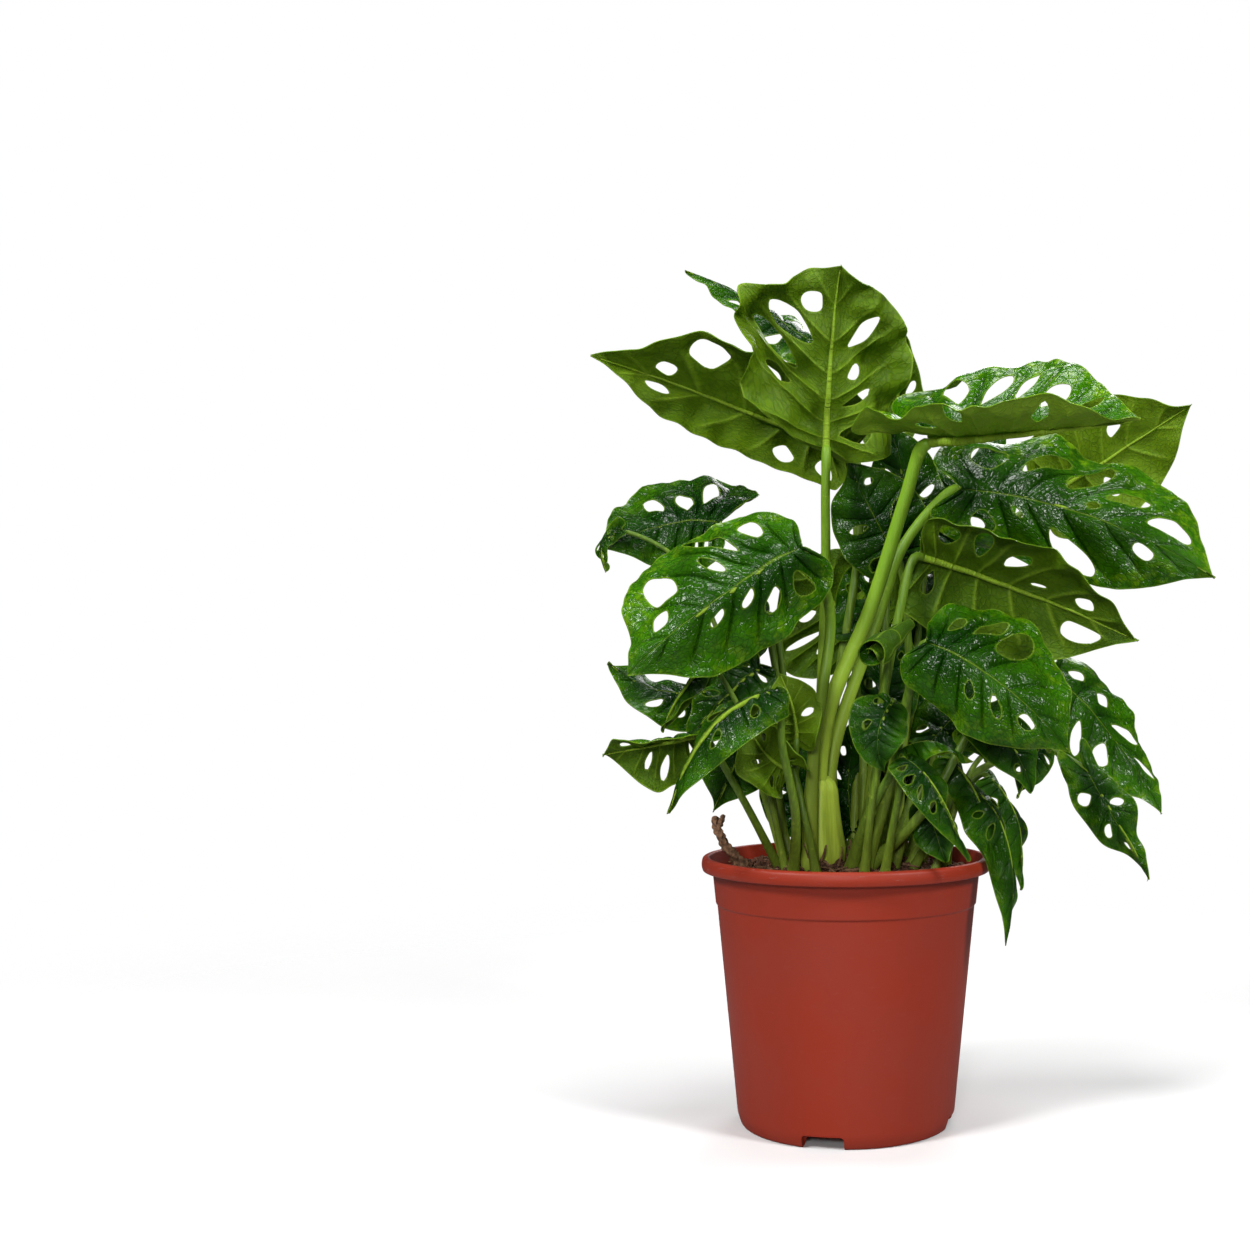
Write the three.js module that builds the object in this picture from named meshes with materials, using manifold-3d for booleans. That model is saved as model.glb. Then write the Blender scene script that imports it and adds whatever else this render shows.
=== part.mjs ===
// A split-leaved climbing plant, Monstera adansonii, in a round plastic nursery pot.
// Millimetres, +Z up. The origin is the middle of the pot's base, on the surface it stands on.
import * as THREE from "three";
import { mergeVertices } from "three/addons/utils/BufferGeometryUtils.js";
import Module from "manifold-3d";

const wasm = await Module();
wasm.setup();

// ---- Driving dimensions: the pot ----
const potHeight = 156;
const rimRadius = 85;
const rimBand = 8; // height of the rolled rim
const rimOverhang = 6.5; // how far the rim stands out from the wall under it
const wall = 1.5;
const bandStep = 28; // the wall is a little thicker this far below the crest
const bandProud = 0.8;
const footRadius = 61.5; // outer radius of the ring it stands on
const footCorner = 2.5;
const footFlare = 1.6; // the wall line starts this far outside the foot ring
const channelHeight = 9; // the floor rises this far between the foot ring and the middle
const channelInner = 32;
const footRing = 6.5; // width of the ring it stands on, up to the channel
const channelOuter = footRadius - footRing;
const notchWidth = 24;
const notchHeight = 7.5;
const notchCorner = 2.5;
const notchTurn = 12; // degrees from the front to the first foot notch
const notches = 4;
const drainRadius = 4;
const drains = 6;
const potSides = 40;

// ---- Driving dimensions: soil, leaves and stalks ----
const soilDrop = 9; // the soil's edge lies this far below the crest
const soilMound = 5; // and rises this much round the crowns
const soilSides = 28;
const bladeGap = 1.2; // between a stalk's end and the blade above it
const soilGap = 1.8; // between a stalk's foot and the soil under it
const clearance = 0.3;
const bladeThickness = 0.8;
const marginSteps = 10; // facets from stalk to tip, and then from midrib to margin
const bladeSteps = 3;
const stalkSides = 7;
const veinGaps = 8; // gaps between side veins, from stalk to tip
const windowSides = 7;
const windowReach = 4; // a window's cutter stands out this far on either side of the blade
const veinSweep = 1.25; // how strongly the side veins bend towards the tip
const waveCount = 17; // radians of waviness along the margin
const tableCrest = 156; // the heights in the leaf table are given for a pot with its crest here

const material = (color, roughness) => new THREE.MeshStandardMaterial({ color, roughness, metalness: 0 });
const potRed = material(0x9a3c2a, 0.45);
const peat = material(0x4a3122, 0.95);
const leafGreen = material(0x1f6a16, 0.35);
const stalkGreen = material(0x86a03c, 0.45);
const deadBrown = material(0x6b4630, 0.9);

const plant = new THREE.Group();

function place(name, geometry, finish) {
  const mesh = new THREE.Mesh(geometry, finish);
  mesh.name = name;
  plant.add(mesh);
  return mesh;
}

// ---- Solids ----
function solidOf(geometry) {
  const bare = geometry.clone();
  bare.deleteAttribute("normal");
  bare.deleteAttribute("uv");
  const merged = mergeVertices(bare, 1e-4);
  const vertProperties = new Float32Array(merged.attributes.position.array);
  const triVerts = new Uint32Array(merged.index.array);
  return new wasm.Manifold(new wasm.Mesh({ numProp: 3, vertProperties, triVerts }));
}

function geometryOf(solid) {
  const mesh = solid.getMesh();
  const geometry = new THREE.BufferGeometry();
  geometry.setAttribute("position", new THREE.BufferAttribute(new Float32Array(mesh.vertProperties), 3));
  geometry.setIndex(Array.from(mesh.triVerts));
  return geometry;
}

// A closed skin from rings of points, each ring with the same count, capped at both ends.
function ringSkin(rings) {
  const count = rings[0].length;
  const points = rings.flat();
  const faces = [];
  for (let i = 0; i + 1 < rings.length; i++) {
    for (let j = 0; j < count; j++) {
      const next = (j + 1) % count;
      const [a, b] = [i * count + j, i * count + next];
      faces.push(a, b, b + count, a, b + count, a + count);
    }
  }
  const last = (rings.length - 1) * count;
  for (let j = 1; j + 1 < count; j++) {
    faces.push(0, j + 1, j);
    faces.push(last, last + j, last + j + 1);
  }
  const geometry = new THREE.BufferGeometry().setFromPoints(points);
  geometry.setIndex(faces);
  return geometry;
}

// ---- Pot ----
const wallTop = rimRadius - rimOverhang;
const wallFoot = footRadius + footFlare;
const wallLine = (z) => wallFoot + ((wallTop - wallFoot) * z) / (potHeight - rimBand);
const stepHeight = potHeight - bandStep;

function potProfile() {
  const outer = [
    [0, 0],
    [channelInner - 2, 0],
    [channelInner, channelHeight],
    [channelOuter, channelHeight],
    [footRadius - 3.5, 0],
    [footRadius - footCorner, 0],
    [footRadius, 1],
    [wallLine(5), 5],
    [wallLine(stepHeight) - bandProud, stepHeight],
    [wallLine(stepHeight), stepHeight + 1],
    [wallTop, potHeight - rimBand],
    [rimRadius - 1.5, potHeight - rimBand],
    [rimRadius, potHeight - rimBand + 2],
    [rimRadius - 0.6, potHeight - 2],
    [rimRadius - 2.5, potHeight],
    [rimRadius - 4.5, potHeight],
  ];
  const inner = [
    [wallTop - wall, potHeight - rimBand],
    [wallLine(channelHeight) - wall, channelHeight + wall],
    [channelInner - wall, channelHeight + wall],
    [channelInner - wall - 2, wall],
    [0, wall],
  ];
  return [...outer, ...inner].map(([radius, z]) => new THREE.Vector2(radius, z));
}

function makePot() {
  const lathe = new THREE.LatheGeometry(potProfile(), potSides);
  lathe.rotateX(Math.PI / 2);
  let pot = solidOf(lathe);
  for (let i = 0; i < notches; i++) {
    const angle = -Math.PI / 2 - THREE.MathUtils.degToRad(notchTurn) + (i * 2 * Math.PI) / notches;
    const outline = new THREE.Shape();
    const [half, corner] = [notchWidth / 2, notchCorner];
    outline.moveTo(-half, -1);
    outline.lineTo(half, -1);
    outline.lineTo(half, notchHeight - corner);
    outline.quadraticCurveTo(half, notchHeight, half - corner, notchHeight);
    outline.lineTo(corner - half, notchHeight);
    outline.quadraticCurveTo(-half, notchHeight, -half, notchHeight - corner);
    outline.closePath();
    const cutter = new THREE.ExtrudeGeometry(outline, { depth: 14, bevelEnabled: false, curveSegments: 3 });
    cutter.rotateX(Math.PI / 2);
    cutter.rotateZ(Math.PI / 2);
    cutter.translate(footRadius - 6, 0, 0);
    cutter.rotateZ(angle);
    pot = pot.subtract(solidOf(cutter));
  }
  for (let i = 0; i < drains; i++) {
    const angle = ((i + 0.5) * 2 * Math.PI) / drains;
    const cutter = new THREE.CylinderGeometry(drainRadius, drainRadius, 6, 10);
    cutter.rotateX(Math.PI / 2);
    const middle = (channelInner + channelOuter) / 2;
    cutter.translate(middle * Math.cos(angle), middle * Math.sin(angle), channelHeight + wall / 2);
    pot = pot.subtract(solidOf(cutter));
  }
  place("pot", geometryOf(pot), potRed);
}

// ---- Soil ----
const crown = new THREE.Vector2(5, -5);

function soilTop(x, y) {
  const spread = Math.hypot(x - crown.x, y - crown.y) / 45;
  const lumps = 0.9 * Math.sin(x / 6 + 1) * Math.cos(y / 7) + 0.6 * Math.sin(x / 3.1 + y / 4.3);
  return potHeight - soilDrop + soilMound * Math.exp(-spread * spread) + lumps;
}

function makeSoil() {
  const wallInside = (z) => wallLine(z) - wall - bandProud - clearance;
  const floor = channelHeight + wall + clearance;
  const edge = potHeight - soilDrop;
  const profile = [
    [channelInner - wall - 2 - 2 * clearance, wall + clearance],
    [channelInner - wall - clearance, floor],
    [wallInside(floor), floor],
    [wallInside(edge - 3), edge - 3],
  ];
  const sides = 28;
  const topRings = [1, 0.84, 0.67, 0.5, 0.33, 0.16];
  const ring = (radius, height) => {
    const points = [];
    for (let j = 0; j < soilSides; j++) {
      const angle = (j * 2 * Math.PI) / soilSides;
      const [x, y] = [radius * Math.cos(angle), radius * Math.sin(angle)];
      points.push(new THREE.Vector3(x, y, height ?? soilTop(x, y)));
    }
    return points;
  };
  const rings = profile.map(([radius, z]) => ring(radius, z));
  for (const share of topRings) rings.push(ring(share * wallInside(edge - 3)));
  place("soil", ringSkin(rings), peat);
}

// ---- Leaf blades ----
// One half of a flat leaf, from the notch at the stalk round to the tip: along the midrib, and out from it.
const margin = new THREE.SplineCurve(
  [
    [0, 0],
    [-0.09, 0.36],
    [-0.06, 0.7],
    [0.09, 0.93],
    [0.29, 1],
    [0.52, 0.88],
    [0.72, 0.59],
    [0.88, 0.22],
    [1, 0],
  ].map(([along, out]) => new THREE.Vector2(along, out)),
);

// Leaves and stalks rise with the pot's crest. A leaf that hangs outside the pot keeps its gap to the rim.
function settle(leaf) {
  const lift = potHeight - tableCrest;
  const reach = Math.hypot(leaf.tip[0], leaf.tip[1]);
  const outward = leaf.beyondRim === undefined ? 0 : (rimRadius + leaf.beyondRim) / reach - 1;
  const raise = ([x, y, z]) => [x, y, z + lift];
  const move = ([x, y, z]) => [x + leaf.tip[0] * outward, y + leaf.tip[1] * outward, z + lift];
  const [base, mid, tip] = [leaf.base, leaf.mid, leaf.tip].map(move);
  return { ...leaf, base, mid, tip, via: leaf.via.map(raise) };
}

// The bent frame of a leaf: a midrib through three points, and the way its upper side faces.
function leafFrame(leaf) {
  const [base, middle, tip] = [leaf.base, leaf.mid, leaf.tip].map((p) => new THREE.Vector3(...p));
  const control = middle.clone().multiplyScalar(2).sub(base.clone().add(tip).multiplyScalar(0.5));
  const midrib = new THREE.QuadraticBezierCurve3(base, control, tip);
  const length = midrib.getLength();
  const face = new THREE.Vector3(...leaf.face);
  const tipFace = new THREE.Vector3(...(leaf.tipFace ?? leaf.face));
  return { midrib, length, face, tipFace };
}

// A point of the blade: vein runs 0 to 1 from stalk to tip, across runs -1 to 1 from margin to margin.
function bladePoint(leaf, frame, vein, across) {
  const side = across < 0 ? 1 : 0;
  const out = Math.abs(across);
  const edge = margin.getPoint(vein);
  const lobe = edge.x < 0 ? (leaf.lobe ?? 1) : 1;
  const sweep = (leaf.sweep ?? [0, 0])[side];
  const root = vein * vein;
  const forward = Math.pow(Math.max(edge.x, 0), leaf.shoulder ?? 0.85) + Math.min(edge.x, 0) * lobe;
  const edgeAlong = forward + sweep * edge.y * (1 - edge.x);
  const along = root + (edgeAlong - root) * Math.pow(out, veinSweep);
  const width = edge.y * out * leaf.half[side];
  const inside = Math.max(along, 0);
  const tangent = frame.midrib.getTangent(inside);
  const point = frame.midrib.getPoint(inside);
  if (along < 0) point.addScaledVector(tangent, along * frame.length);
  const normal = frame.face.clone().lerp(frame.tipFace, inside);
  normal.addScaledVector(tangent, -normal.dot(tangent)).normalize();
  normal.applyAxisAngle(tangent, THREE.MathUtils.degToRad(leaf.twist ?? 0) * inside);
  const sideways = new THREE.Vector3().crossVectors(tangent, normal);
  if (side === 1) sideways.negate();
  const fold = THREE.MathUtils.degToRad(leaf.fold[side]);
  const curl = THREE.MathUtils.degToRad((leaf.curl ?? [0, 0])[side]) + 1e-4;
  const turn = fold + (curl * width) / leaf.half[side];
  const bend = leaf.half[side] / curl;
  point.addScaledVector(sideways, bend * (Math.sin(turn) - Math.sin(fold)));
  point.addScaledVector(normal, -bend * (Math.cos(fold) - Math.cos(turn)));
  const up = normal.multiplyScalar(Math.cos(turn)).addScaledVector(sideways, Math.sin(turn));
  const wave = (leaf.wave ?? 1) * Math.sin(vein * waveCount + side * 2 + leaf.base[0]) * out * out;
  point.addScaledVector(up, wave);
  return { point, up };
}

function bladeGrid(leaf, frame) {
  const across = [];
  for (let j = -bladeSteps; j <= bladeSteps; j++) across.push(j / bladeSteps);
  const skins = [1, -1].map((face) => {
    const rows = [];
    for (let i = 0; i <= marginSteps; i++) {
      const vein = i / marginSteps;
      rows.push(
        across.map((v) => {
          const { point, up } = bladePoint(leaf, frame, vein, i === 0 || i === marginSteps ? 0 : v);
          return point.addScaledVector(up, (face * bladeThickness) / 2);
        }),
      );
    }
    return rows;
  });
  return skins;
}

function makeBlade(leaf) {
  const frame = leafFrame(leaf);
  const [upper, under] = bladeGrid(leaf, frame);
  const triangles = [];
  const quad = (a, b, c, d) => triangles.push(a, b, c, a, c, d);
  const last = 2 * bladeSteps;
  for (let i = 0; i < marginSteps; i++) {
    for (let j = 0; j < last; j++) {
      quad(upper[i][j], upper[i][j + 1], upper[i + 1][j + 1], upper[i + 1][j]);
      quad(under[i][j], under[i + 1][j], under[i + 1][j + 1], under[i][j + 1]);
    }
    quad(upper[i][0], upper[i + 1][0], under[i + 1][0], under[i][0]);
    quad(upper[i][last], under[i][last], under[i + 1][last], upper[i + 1][last]);
  }
  const blade = new THREE.BufferGeometry().setFromPoints(triangles);
  let solid = solidOf(blade);
  for (const window of leaf.windows ?? []) solid = solid.subtract(windowCutter(leaf, frame, window));
  return geometryOf(solid);
}

// A window: the gap between side veins it lies in, its start and end across the half, its share of the gap.
function windowCutter(leaf, frame, [gap, from, to, share]) {
  const sides = 7;
  const [vein, breadth] = [(gap + 0.5) / veinGaps, share / veinGaps];
  const [middle, reach] = [(from + to) / 2, Math.abs(to - from) / 2];
  const rings = [-windowReach, windowReach].map((depth) => {
    const ring = [];
    for (let j = 0; j < windowSides; j++) {
      const angle = (j * 2 * Math.PI) / windowSides;
      const [a, v] = [vein + (breadth / 2) * Math.sin(angle), middle + reach * Math.cos(angle)];
      const { point, up } = bladePoint(leaf, frame, a, v);
      ring.push(point.addScaledVector(up, depth));
    }
    return ring;
  });
  const cutter = solidOf(ringSkin(rings));
  return cutter.volume() < 0 ? solidOf(ringSkin(rings.reverse())) : cutter;
}

// ---- Stalks ----
function taperedTube(points, startRadius, endRadius) {
  const curve = new THREE.CatmullRomCurve3(points, false, "centripetal");
  const steps = 3 * (points.length - 1);
  const rings = [];
  let across = new THREE.Vector3(1, 0, 0);
  for (let i = 0; i <= steps; i++) {
    const share = i / steps;
    const centre = curve.getPoint(share);
    const along = curve.getTangent(share);
    across = across.clone().addScaledVector(along, -across.dot(along)).normalize();
    const third = new THREE.Vector3().crossVectors(along, across);
    const radius = startRadius + (endRadius - startRadius) * Math.sqrt(share);
    const ring = [];
    for (let j = 0; j < stalkSides; j++) {
      const angle = (j * 2 * Math.PI) / stalkSides;
      const offset = across.clone().multiplyScalar(radius * Math.cos(angle));
      ring.push(centre.clone().add(offset.addScaledVector(third, radius * Math.sin(angle))));
    }
    rings.push(ring);
  }
  return ringSkin(rings);
}

function makeStalk(leaf) {
  const [startRadius, endRadius] = leaf.thick;
  const [x, y] = leaf.foot;
  const [viaX, viaY, viaZ] = leaf.via[0];
  const lean = Math.hypot(viaX - x, viaY - y) / Math.hypot(viaX - x, viaY - y, viaZ - soilTop(x, y));
  const start = new THREE.Vector3(x, y, soilTop(x, y) + startRadius * lean + soilGap);
  const { point, up } = bladePoint(leaf, leafFrame(leaf), 0, 0);
  const steepest = THREE.MathUtils.degToRad(Math.max(0, ...leaf.fold));
  const depth = (endRadius + bladeThickness / 2 + bladeGap) / Math.cos(steepest);
  const end = point.addScaledVector(up, -depth);
  const route = leaf.via.map((place) => new THREE.Vector3(...place));
  return taperedTube([start, ...route, end], startRadius, endRadius);
}

// ---- The leaves, each with its stalk ----
const leaves = [
  {
    name: "top", base: [-12, -2, 394], mid: [-9, -10, 450], tip: [-3, -30, 496], face: [0, 1, 0.2],
    half: [62, 46], fold: [5, -12], curl: [30, -10], sweep: [0.3, 0.0], lobe: 0.6, shoulder: 0.5,
    windows: [[4, 0.3, 0.75, 0.8], [5, 0.25, 0.8, 0.85], [5, -0.3, -0.8, 0.6], [6, 0.3, 0.7, 0.7]],
    foot: [-15, 9], via: [[-15, 9, 230], [-12, 4, 324], [-12, -6, 370]], thick: [4.5, 2.6],
  },
  {
    name: "top_left", base: [2, 58, 398], mid: [-80, 42, 431], tip: [-153, 14, 453],
    face: [-0.2, 0.75, 0.6],
    half: [28, 60], fold: [40, 10], curl: [20, 30], lobe: 0.2,
    windows: [[4, -0.35, -0.75, 0.7], [5, -0.45, -0.9, 0.8]],
    foot: [-6, 24], via: [[-8, 42, 230], [8, 46, 345]], thick: [4, 2.4],
  },
  {
    name: "top_back", base: [-20, 74, 472], mid: [-61, 80, 502], tip: [-102, 70, 519],
    face: [-0.2, -0.4, 1],
    half: [30, 28], fold: [20, 20],
    windows: [[3, 0.3, 0.8, 0.5], [4, 0.3, 0.8, 0.5], [3, -0.3, -0.8, 0.5]],
    foot: [4, 34], via: [[8, 60, 240], [2, 76, 400]], thick: [3.5, 2],
  },
  {
    name: "top_right", base: [47, -31, 399], mid: [104, -64, 397], tip: [158, -85, 399],
    face: [0, 0, 1],
    half: [48, 68], fold: [-10, -56], curl: [0, 25], lobe: 3.2,
    windows: [[3, -0.35, -0.8, 0.5], [4, -0.35, -0.8, 0.45]],
    foot: [-17, -10], via: [[-17, -12, 190], [-10, -10, 242], [14, -12, 300], [34, -23, 363]],
    thick: [6.5, 3.6],
  },
  {
    name: "right_back", base: [134, 118, 383], mid: [181, 122, 411], tip: [227, 106, 440],
    face: [0, 0.9, 0.4],
    half: [48, 42], fold: [10, 10],
    windows: [],
    foot: [30, 24], via: [[40, 44, 240], [88, 96, 346]], thick: [3.5, 2],
  },
  {
    name: "right_big", base: [68, 0, 372], mid: [144, 8, 357], tip: [216, -8, 319],
    face: [0.1, -0.85, 0.5],
    half: [40, 62], fold: [30, 5], curl: [20, 20], sweep: [0.05, 0.12], lobe: 1.4, shoulder: 0.6,
    windows: [[2, -0.35, -0.75, 0.5], [3, -0.3, -0.75, 0.6], [4, -0.3, -0.75, 0.6],
      [4, 0.35, 0.9, 0.85], [6, -0.4, -0.85, 0.7]],
    foot: [-9, 0], via: [[-10, 1, 200], [-3, 2, 234], [17, 2, 289], [35, 0, 340]], thick: [5.5, 2.8],
  },
  {
    name: "right_low", base: [43, -22, 333], mid: [109, -16, 309], tip: [169, -20, 282],
    face: [0.1, 0.8, 0.6],
    half: [42, 44], fold: [10, 20], curl: [20, 20], lobe: 0.4,
    windows: [[2, 0.35, 0.7, 0.7], [6, -0.35, -0.85, 0.9]],
    foot: [10, -11], via: [[17, -21, 220], [31, -28, 300]], thick: [4, 2.4],
  },
  {
    name: "front_right", base: [43, -85, 280], mid: [81, -97, 258], tip: [119, -95, 221],
    face: [0, -0.85, 0.5],
    half: [34, 54], fold: [15, 10], curl: [40, 30], shoulder: 0.65,
    windows: [[4, -0.3, -0.85, 0.95], [3, -0.35, -0.75, 0.6]],
    foot: [10, -33], via: [[24, -48, 200], [34, -62, 250]], thick: [4, 2.4],
  },
  {
    name: "right_droop", base: [123, 68, 271], mid: [169, 80, 225], tip: [200, 68, 174],
    face: [0.5, -0.7, 0.4],
    half: [38, 38], fold: [20, 15],
    windows: [[5, 0.3, 0.75, 0.6]],
    foot: [37, 15], via: [[58, 34, 220], [94, 58, 266]], thick: [3.5, 2],
  },
  {
    name: "far_right", base: [141, -10, 205], mid: [156, -16, 178], tip: [175, -20, 144],
    face: [0.3, -0.9, 0.2],
    half: [17, 15], fold: [20, 25], lobe: 3, twist: 50, wave: 3,
    windows: [[3, 0.3, 0.8, 0.8]],
    foot: [36, -4], via: [[62, -8, 194], [92, -3, 213], [116, 8, 219]], thick: [3, 1.8],
  },
  {
    name: "left_big", base: [-24, -75, 332], mid: [-70, -92, 302], tip: [-116, -95, 262],
    face: [-0.2, -0.85, 0.5],
    half: [66, 40], fold: [5, 45], curl: [25, 20], sweep: [0.08, 0], lobe: 1.3, shoulder: 0.6,
    windows: [[5, 0.45, 0.85, 0.9], [3, 0.3, 0.9, 0.55]],
    foot: [-21, -23], via: [[-18, -32, 222], [-13, -43, 255], [-9, -43, 298]], thick: [5, 2.6],
  },
  {
    name: "left_back", base: [-76, 28, 355], mid: [-110, 38, 355], tip: [-148, 28, 339],
    face: [0, -0.7, 0.7],
    half: [61, 36], fold: [0, 30], curl: [30, 30], sweep: [0.1, 0],
    windows: [[3, 0.25, 0.7, 0.6], [4, 0.15, 0.6, 0.6]],
    foot: [-25, 16], via: [[-36, 18, 230], [-56, 24, 322]], thick: [3.5, 2],
  },
  {
    name: "left_curly", base: [-76, 14, 257], mid: [-108, 8, 252], tip: [-140, 0, 270],
    face: [0, -0.5, 0.85],
    half: [24, 26], fold: [20, 30], wave: 2,
    windows: [[4, -0.3, -0.7, 0.6]],
    foot: [-35, 3], via: [[-54, 7, 208]], thick: [3, 1.8],
  },
  {
    name: "left_front", base: [-39, -75, 254], mid: [-72, -98, 236], tip: [-95, -92, 188],
    face: [-0.5, -0.6, 0.6],
    half: [28, 22], fold: [32, 35], curl: [15, 15], lobe: 0.2, wave: 2,
    windows: [[4, 0.3, 0.7, 0.6]],
    foot: [-30, -31], via: [[-28, -57, 185], [-35, -71, 226]], thick: [3.5, 2],
  },
  {
    name: "left_low", base: [-84, -54, 230], mid: [-108, -63, 224], tip: [-134, -63, 218],
    face: [0, 0.7, 0.7],
    half: [26, 24], fold: [10, 20], curl: [110, 30], wave: 1.5,
    windows: [],
    foot: [-37, -10], via: [[-62, -48, 200]], thick: [3, 1.8],
  },
  {
    name: "left_inner", base: [-55, -33, 242], mid: [-63, -42, 214], tip: [-75, -44, 185],
    face: [0.1, -0.9, 0.3],
    half: [24, 24], fold: [20, 20],
    windows: [[4, -0.3, -0.8, 0.9]],
    foot: [-34, 14], via: [[-42, 3, 205]], thick: [3, 1.8],
  },
  {
    name: "small_pale", base: [-28, -38, 224], mid: [-30, -36, 243], tip: [-38, -28, 263],
    face: [0.2, 0.9, 0.3],
    half: [18, 18], fold: [15, 15],
    windows: [],
    foot: [-30, -17], via: [[-29, -29, 190]], thick: [3, 1.6],
  },
  {
    name: "small_cup", base: [-34, -40, 210], mid: [-44, -48, 217], tip: [-57, -42, 235],
    face: [-0.2, 0.8, 0.5],
    half: [22, 22], fold: [20, 20], curl: [40, 40],
    windows: [],
    foot: [-16, -38], via: [[-23, -44, 182]], thick: [3, 1.6],
  },
  {
    name: "middle_back", base: [12, 60, 286], mid: [-10, 68, 310], tip: [-39, 58, 335],
    face: [0.1, 0.95, 0.2],
    half: [52, 48], fold: [10, 10],
    windows: [[4, -0.3, -0.65, 0.6]],
    foot: [16, 26], via: [[16, 42, 210]], thick: [3.5, 2],
  },
  {
    name: "middle_dark", base: [32, 14, 331], mid: [14, 10, 362], tip: [2, 12, 390],
    face: [-0.3, -0.9, 0.3],
    half: [30, 28], fold: [15, 15], lobe: 0.6,
    windows: [[4, 0.3, 0.7, 0.6]],
    foot: [25, 12], via: [[38, 25, 262]], thick: [3.5, 2],
  },
  {
    name: "middle_right", base: [54, 76, 349], mid: [78, 112, 391], tip: [109, 142, 428],
    face: [-0.2, -0.9, 0.4],
    half: [42, 40], fold: [10, 10],
    windows: [[3, 0.3, 0.7, 0.6], [4, -0.3, -0.7, 0.6]],
    foot: [34, 40], via: [[42, 60, 250]], thick: [3.5, 2],
  },
  {
    name: "low_middle", base: [25, -69, 249], mid: [17, -81, 230], tip: [21, -75, 209],
    face: [0, -1, 0.2],
    half: [17, 17], fold: [20, 20],
    windows: [],
    foot: [10, -42], via: [[16, -58, 200]], thick: [3, 1.6],
  },
  {
    name: "low_narrow", base: [33, -76, 216], mid: [50, -86, 198], tip: [66, -78, 161],
    face: [0.5, -0.8, 0.4],
    half: [15, 14], fold: [30, 30],
    windows: [],
    foot: [21, -42], via: [[28, -60, 190]], thick: [3, 1.6],
  },
  {
    name: "low_dark", base: [45, -36, 191], mid: [50, -45, 175], tip: [56, -47, 157],
    face: [-0.1, -0.9, 0.2],
    half: [14, 14], fold: [20, 20],
    windows: [[4, -0.3, -0.7, 0.8]],
    foot: [24, -16], via: [[36, -25, 174]], thick: [3, 1.8],
  },
  {
    name: "over_rim", base: [69, -34, 200], mid: [92, -40, 165], tip: [90, -40, 109],
    face: [0.6, -0.7, 0.3],
    half: [18, 17], fold: [30, 30], curl: [30, 30], lobe: 0.5, wave: 1.5, beyondRim: 13.5,
    windows: [[4, -0.3, -0.7, 0.8]],
    foot: [38, -13], via: [[56, -22, 182]], thick: [3, 1.8],
  },
  {
    name: "behind_rim", base: [84, 3, 202], mid: [102, 4, 174], tip: [103, 0, 135],
    face: [0.7, -0.6, 0.3],
    half: [18, 18], fold: [35, 35], lobe: 0.5, beyondRim: 18,
    windows: [[3, 0.3, 0.7, 0.9]],
    foot: [42, 8], via: [[64, 9, 184]], thick: [3, 1.8],
  },
  {
    name: "low_twist", base: [68, -30, 233], mid: [77, -38, 226], tip: [80, -37, 212],
    face: [0.3, -0.7, 0.6],
    half: [14, 13], fold: [30, 30],
    windows: [],
    foot: [58, -8], via: [[64, -17, 205]], thick: [3, 1.6],
  },
  {
    name: "low_cup", base: [112, -32, 224], mid: [104, -40, 209], tip: [97, -36, 192],
    face: [0, -0.9, 0.4],
    half: [12, 12], fold: [20, 20], lobe: 0.3,
    windows: [],
    foot: [49, -27], via: [[80, -16, 216]], thick: [2.5, 1.3],
  },
];

// ---- A young leaf still rolled into a scroll, on its own short stalk ----
const scroll = { mouth: [13, -68, 272], end: [36, -46, 291], radius: 10, turns: 1.6, wall: 1.2 };
scroll.foot = [4, -22];
scroll.via = [[18, -44, 215], [24, -58, 276]];

function makeRolledLeaf() {
  const steps = 20;
  const spiral = (inset) => {
    const points = [];
    for (let i = 0; i <= steps; i++) {
      const angle = (i / steps) * scroll.turns * 2 * Math.PI;
      const radius = scroll.radius * (1 - (0.6 * i) / steps) - inset;
      points.push(new THREE.Vector2(radius * Math.cos(angle), radius * Math.sin(angle)));
    }
    return points;
  };
  const outline = new THREE.Shape([...spiral(0), ...spiral(scroll.wall).reverse()]);
  const lift = new THREE.Vector3(0, 0, potHeight - tableCrest);
  const mouth = new THREE.Vector3(...scroll.mouth).add(lift);
  const axis = new THREE.Vector3(...scroll.end).add(lift).sub(mouth);
  const length = axis.length();
  const sheet = new THREE.ExtrudeGeometry(outline, { depth: length, steps: 3, bevelEnabled: false });
  const corners = sheet.attributes.position;
  for (let i = 0; i < corners.count; i++) {
    const taper = 1 - (0.7 * corners.getZ(i)) / length;
    corners.setXY(i, corners.getX(i) * taper, corners.getY(i) * taper);
  }
  const upward = new THREE.Vector3(0, 0, 1);
  sheet.applyQuaternion(new THREE.Quaternion().setFromUnitVectors(upward, axis.normalize()));
  sheet.translate(mouth.x, mouth.y, mouth.z);
  const [x, y] = scroll.foot;
  const foot = new THREE.Vector3(x, y, soilTop(x, y) + 2);
  const route = [foot, ...scroll.via.map((place) => new THREE.Vector3(...place).add(lift))];
  const stalk = solidOf(taperedTube(route, 3, 1.8));
  place("leaf_rolled", geometryOf(solidOf(sheet).add(stalk)), leafGreen);
}

// ---- A dead, forked stem that leans over the edge of the soil ----
const deadStem = [[-57, -14, 152], [-66, -14, 158], [-73, -13, 168], [-77, -12, 180]];
const deadFork = [[-75, -13, 173], [-71, -14, 181]];

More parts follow.
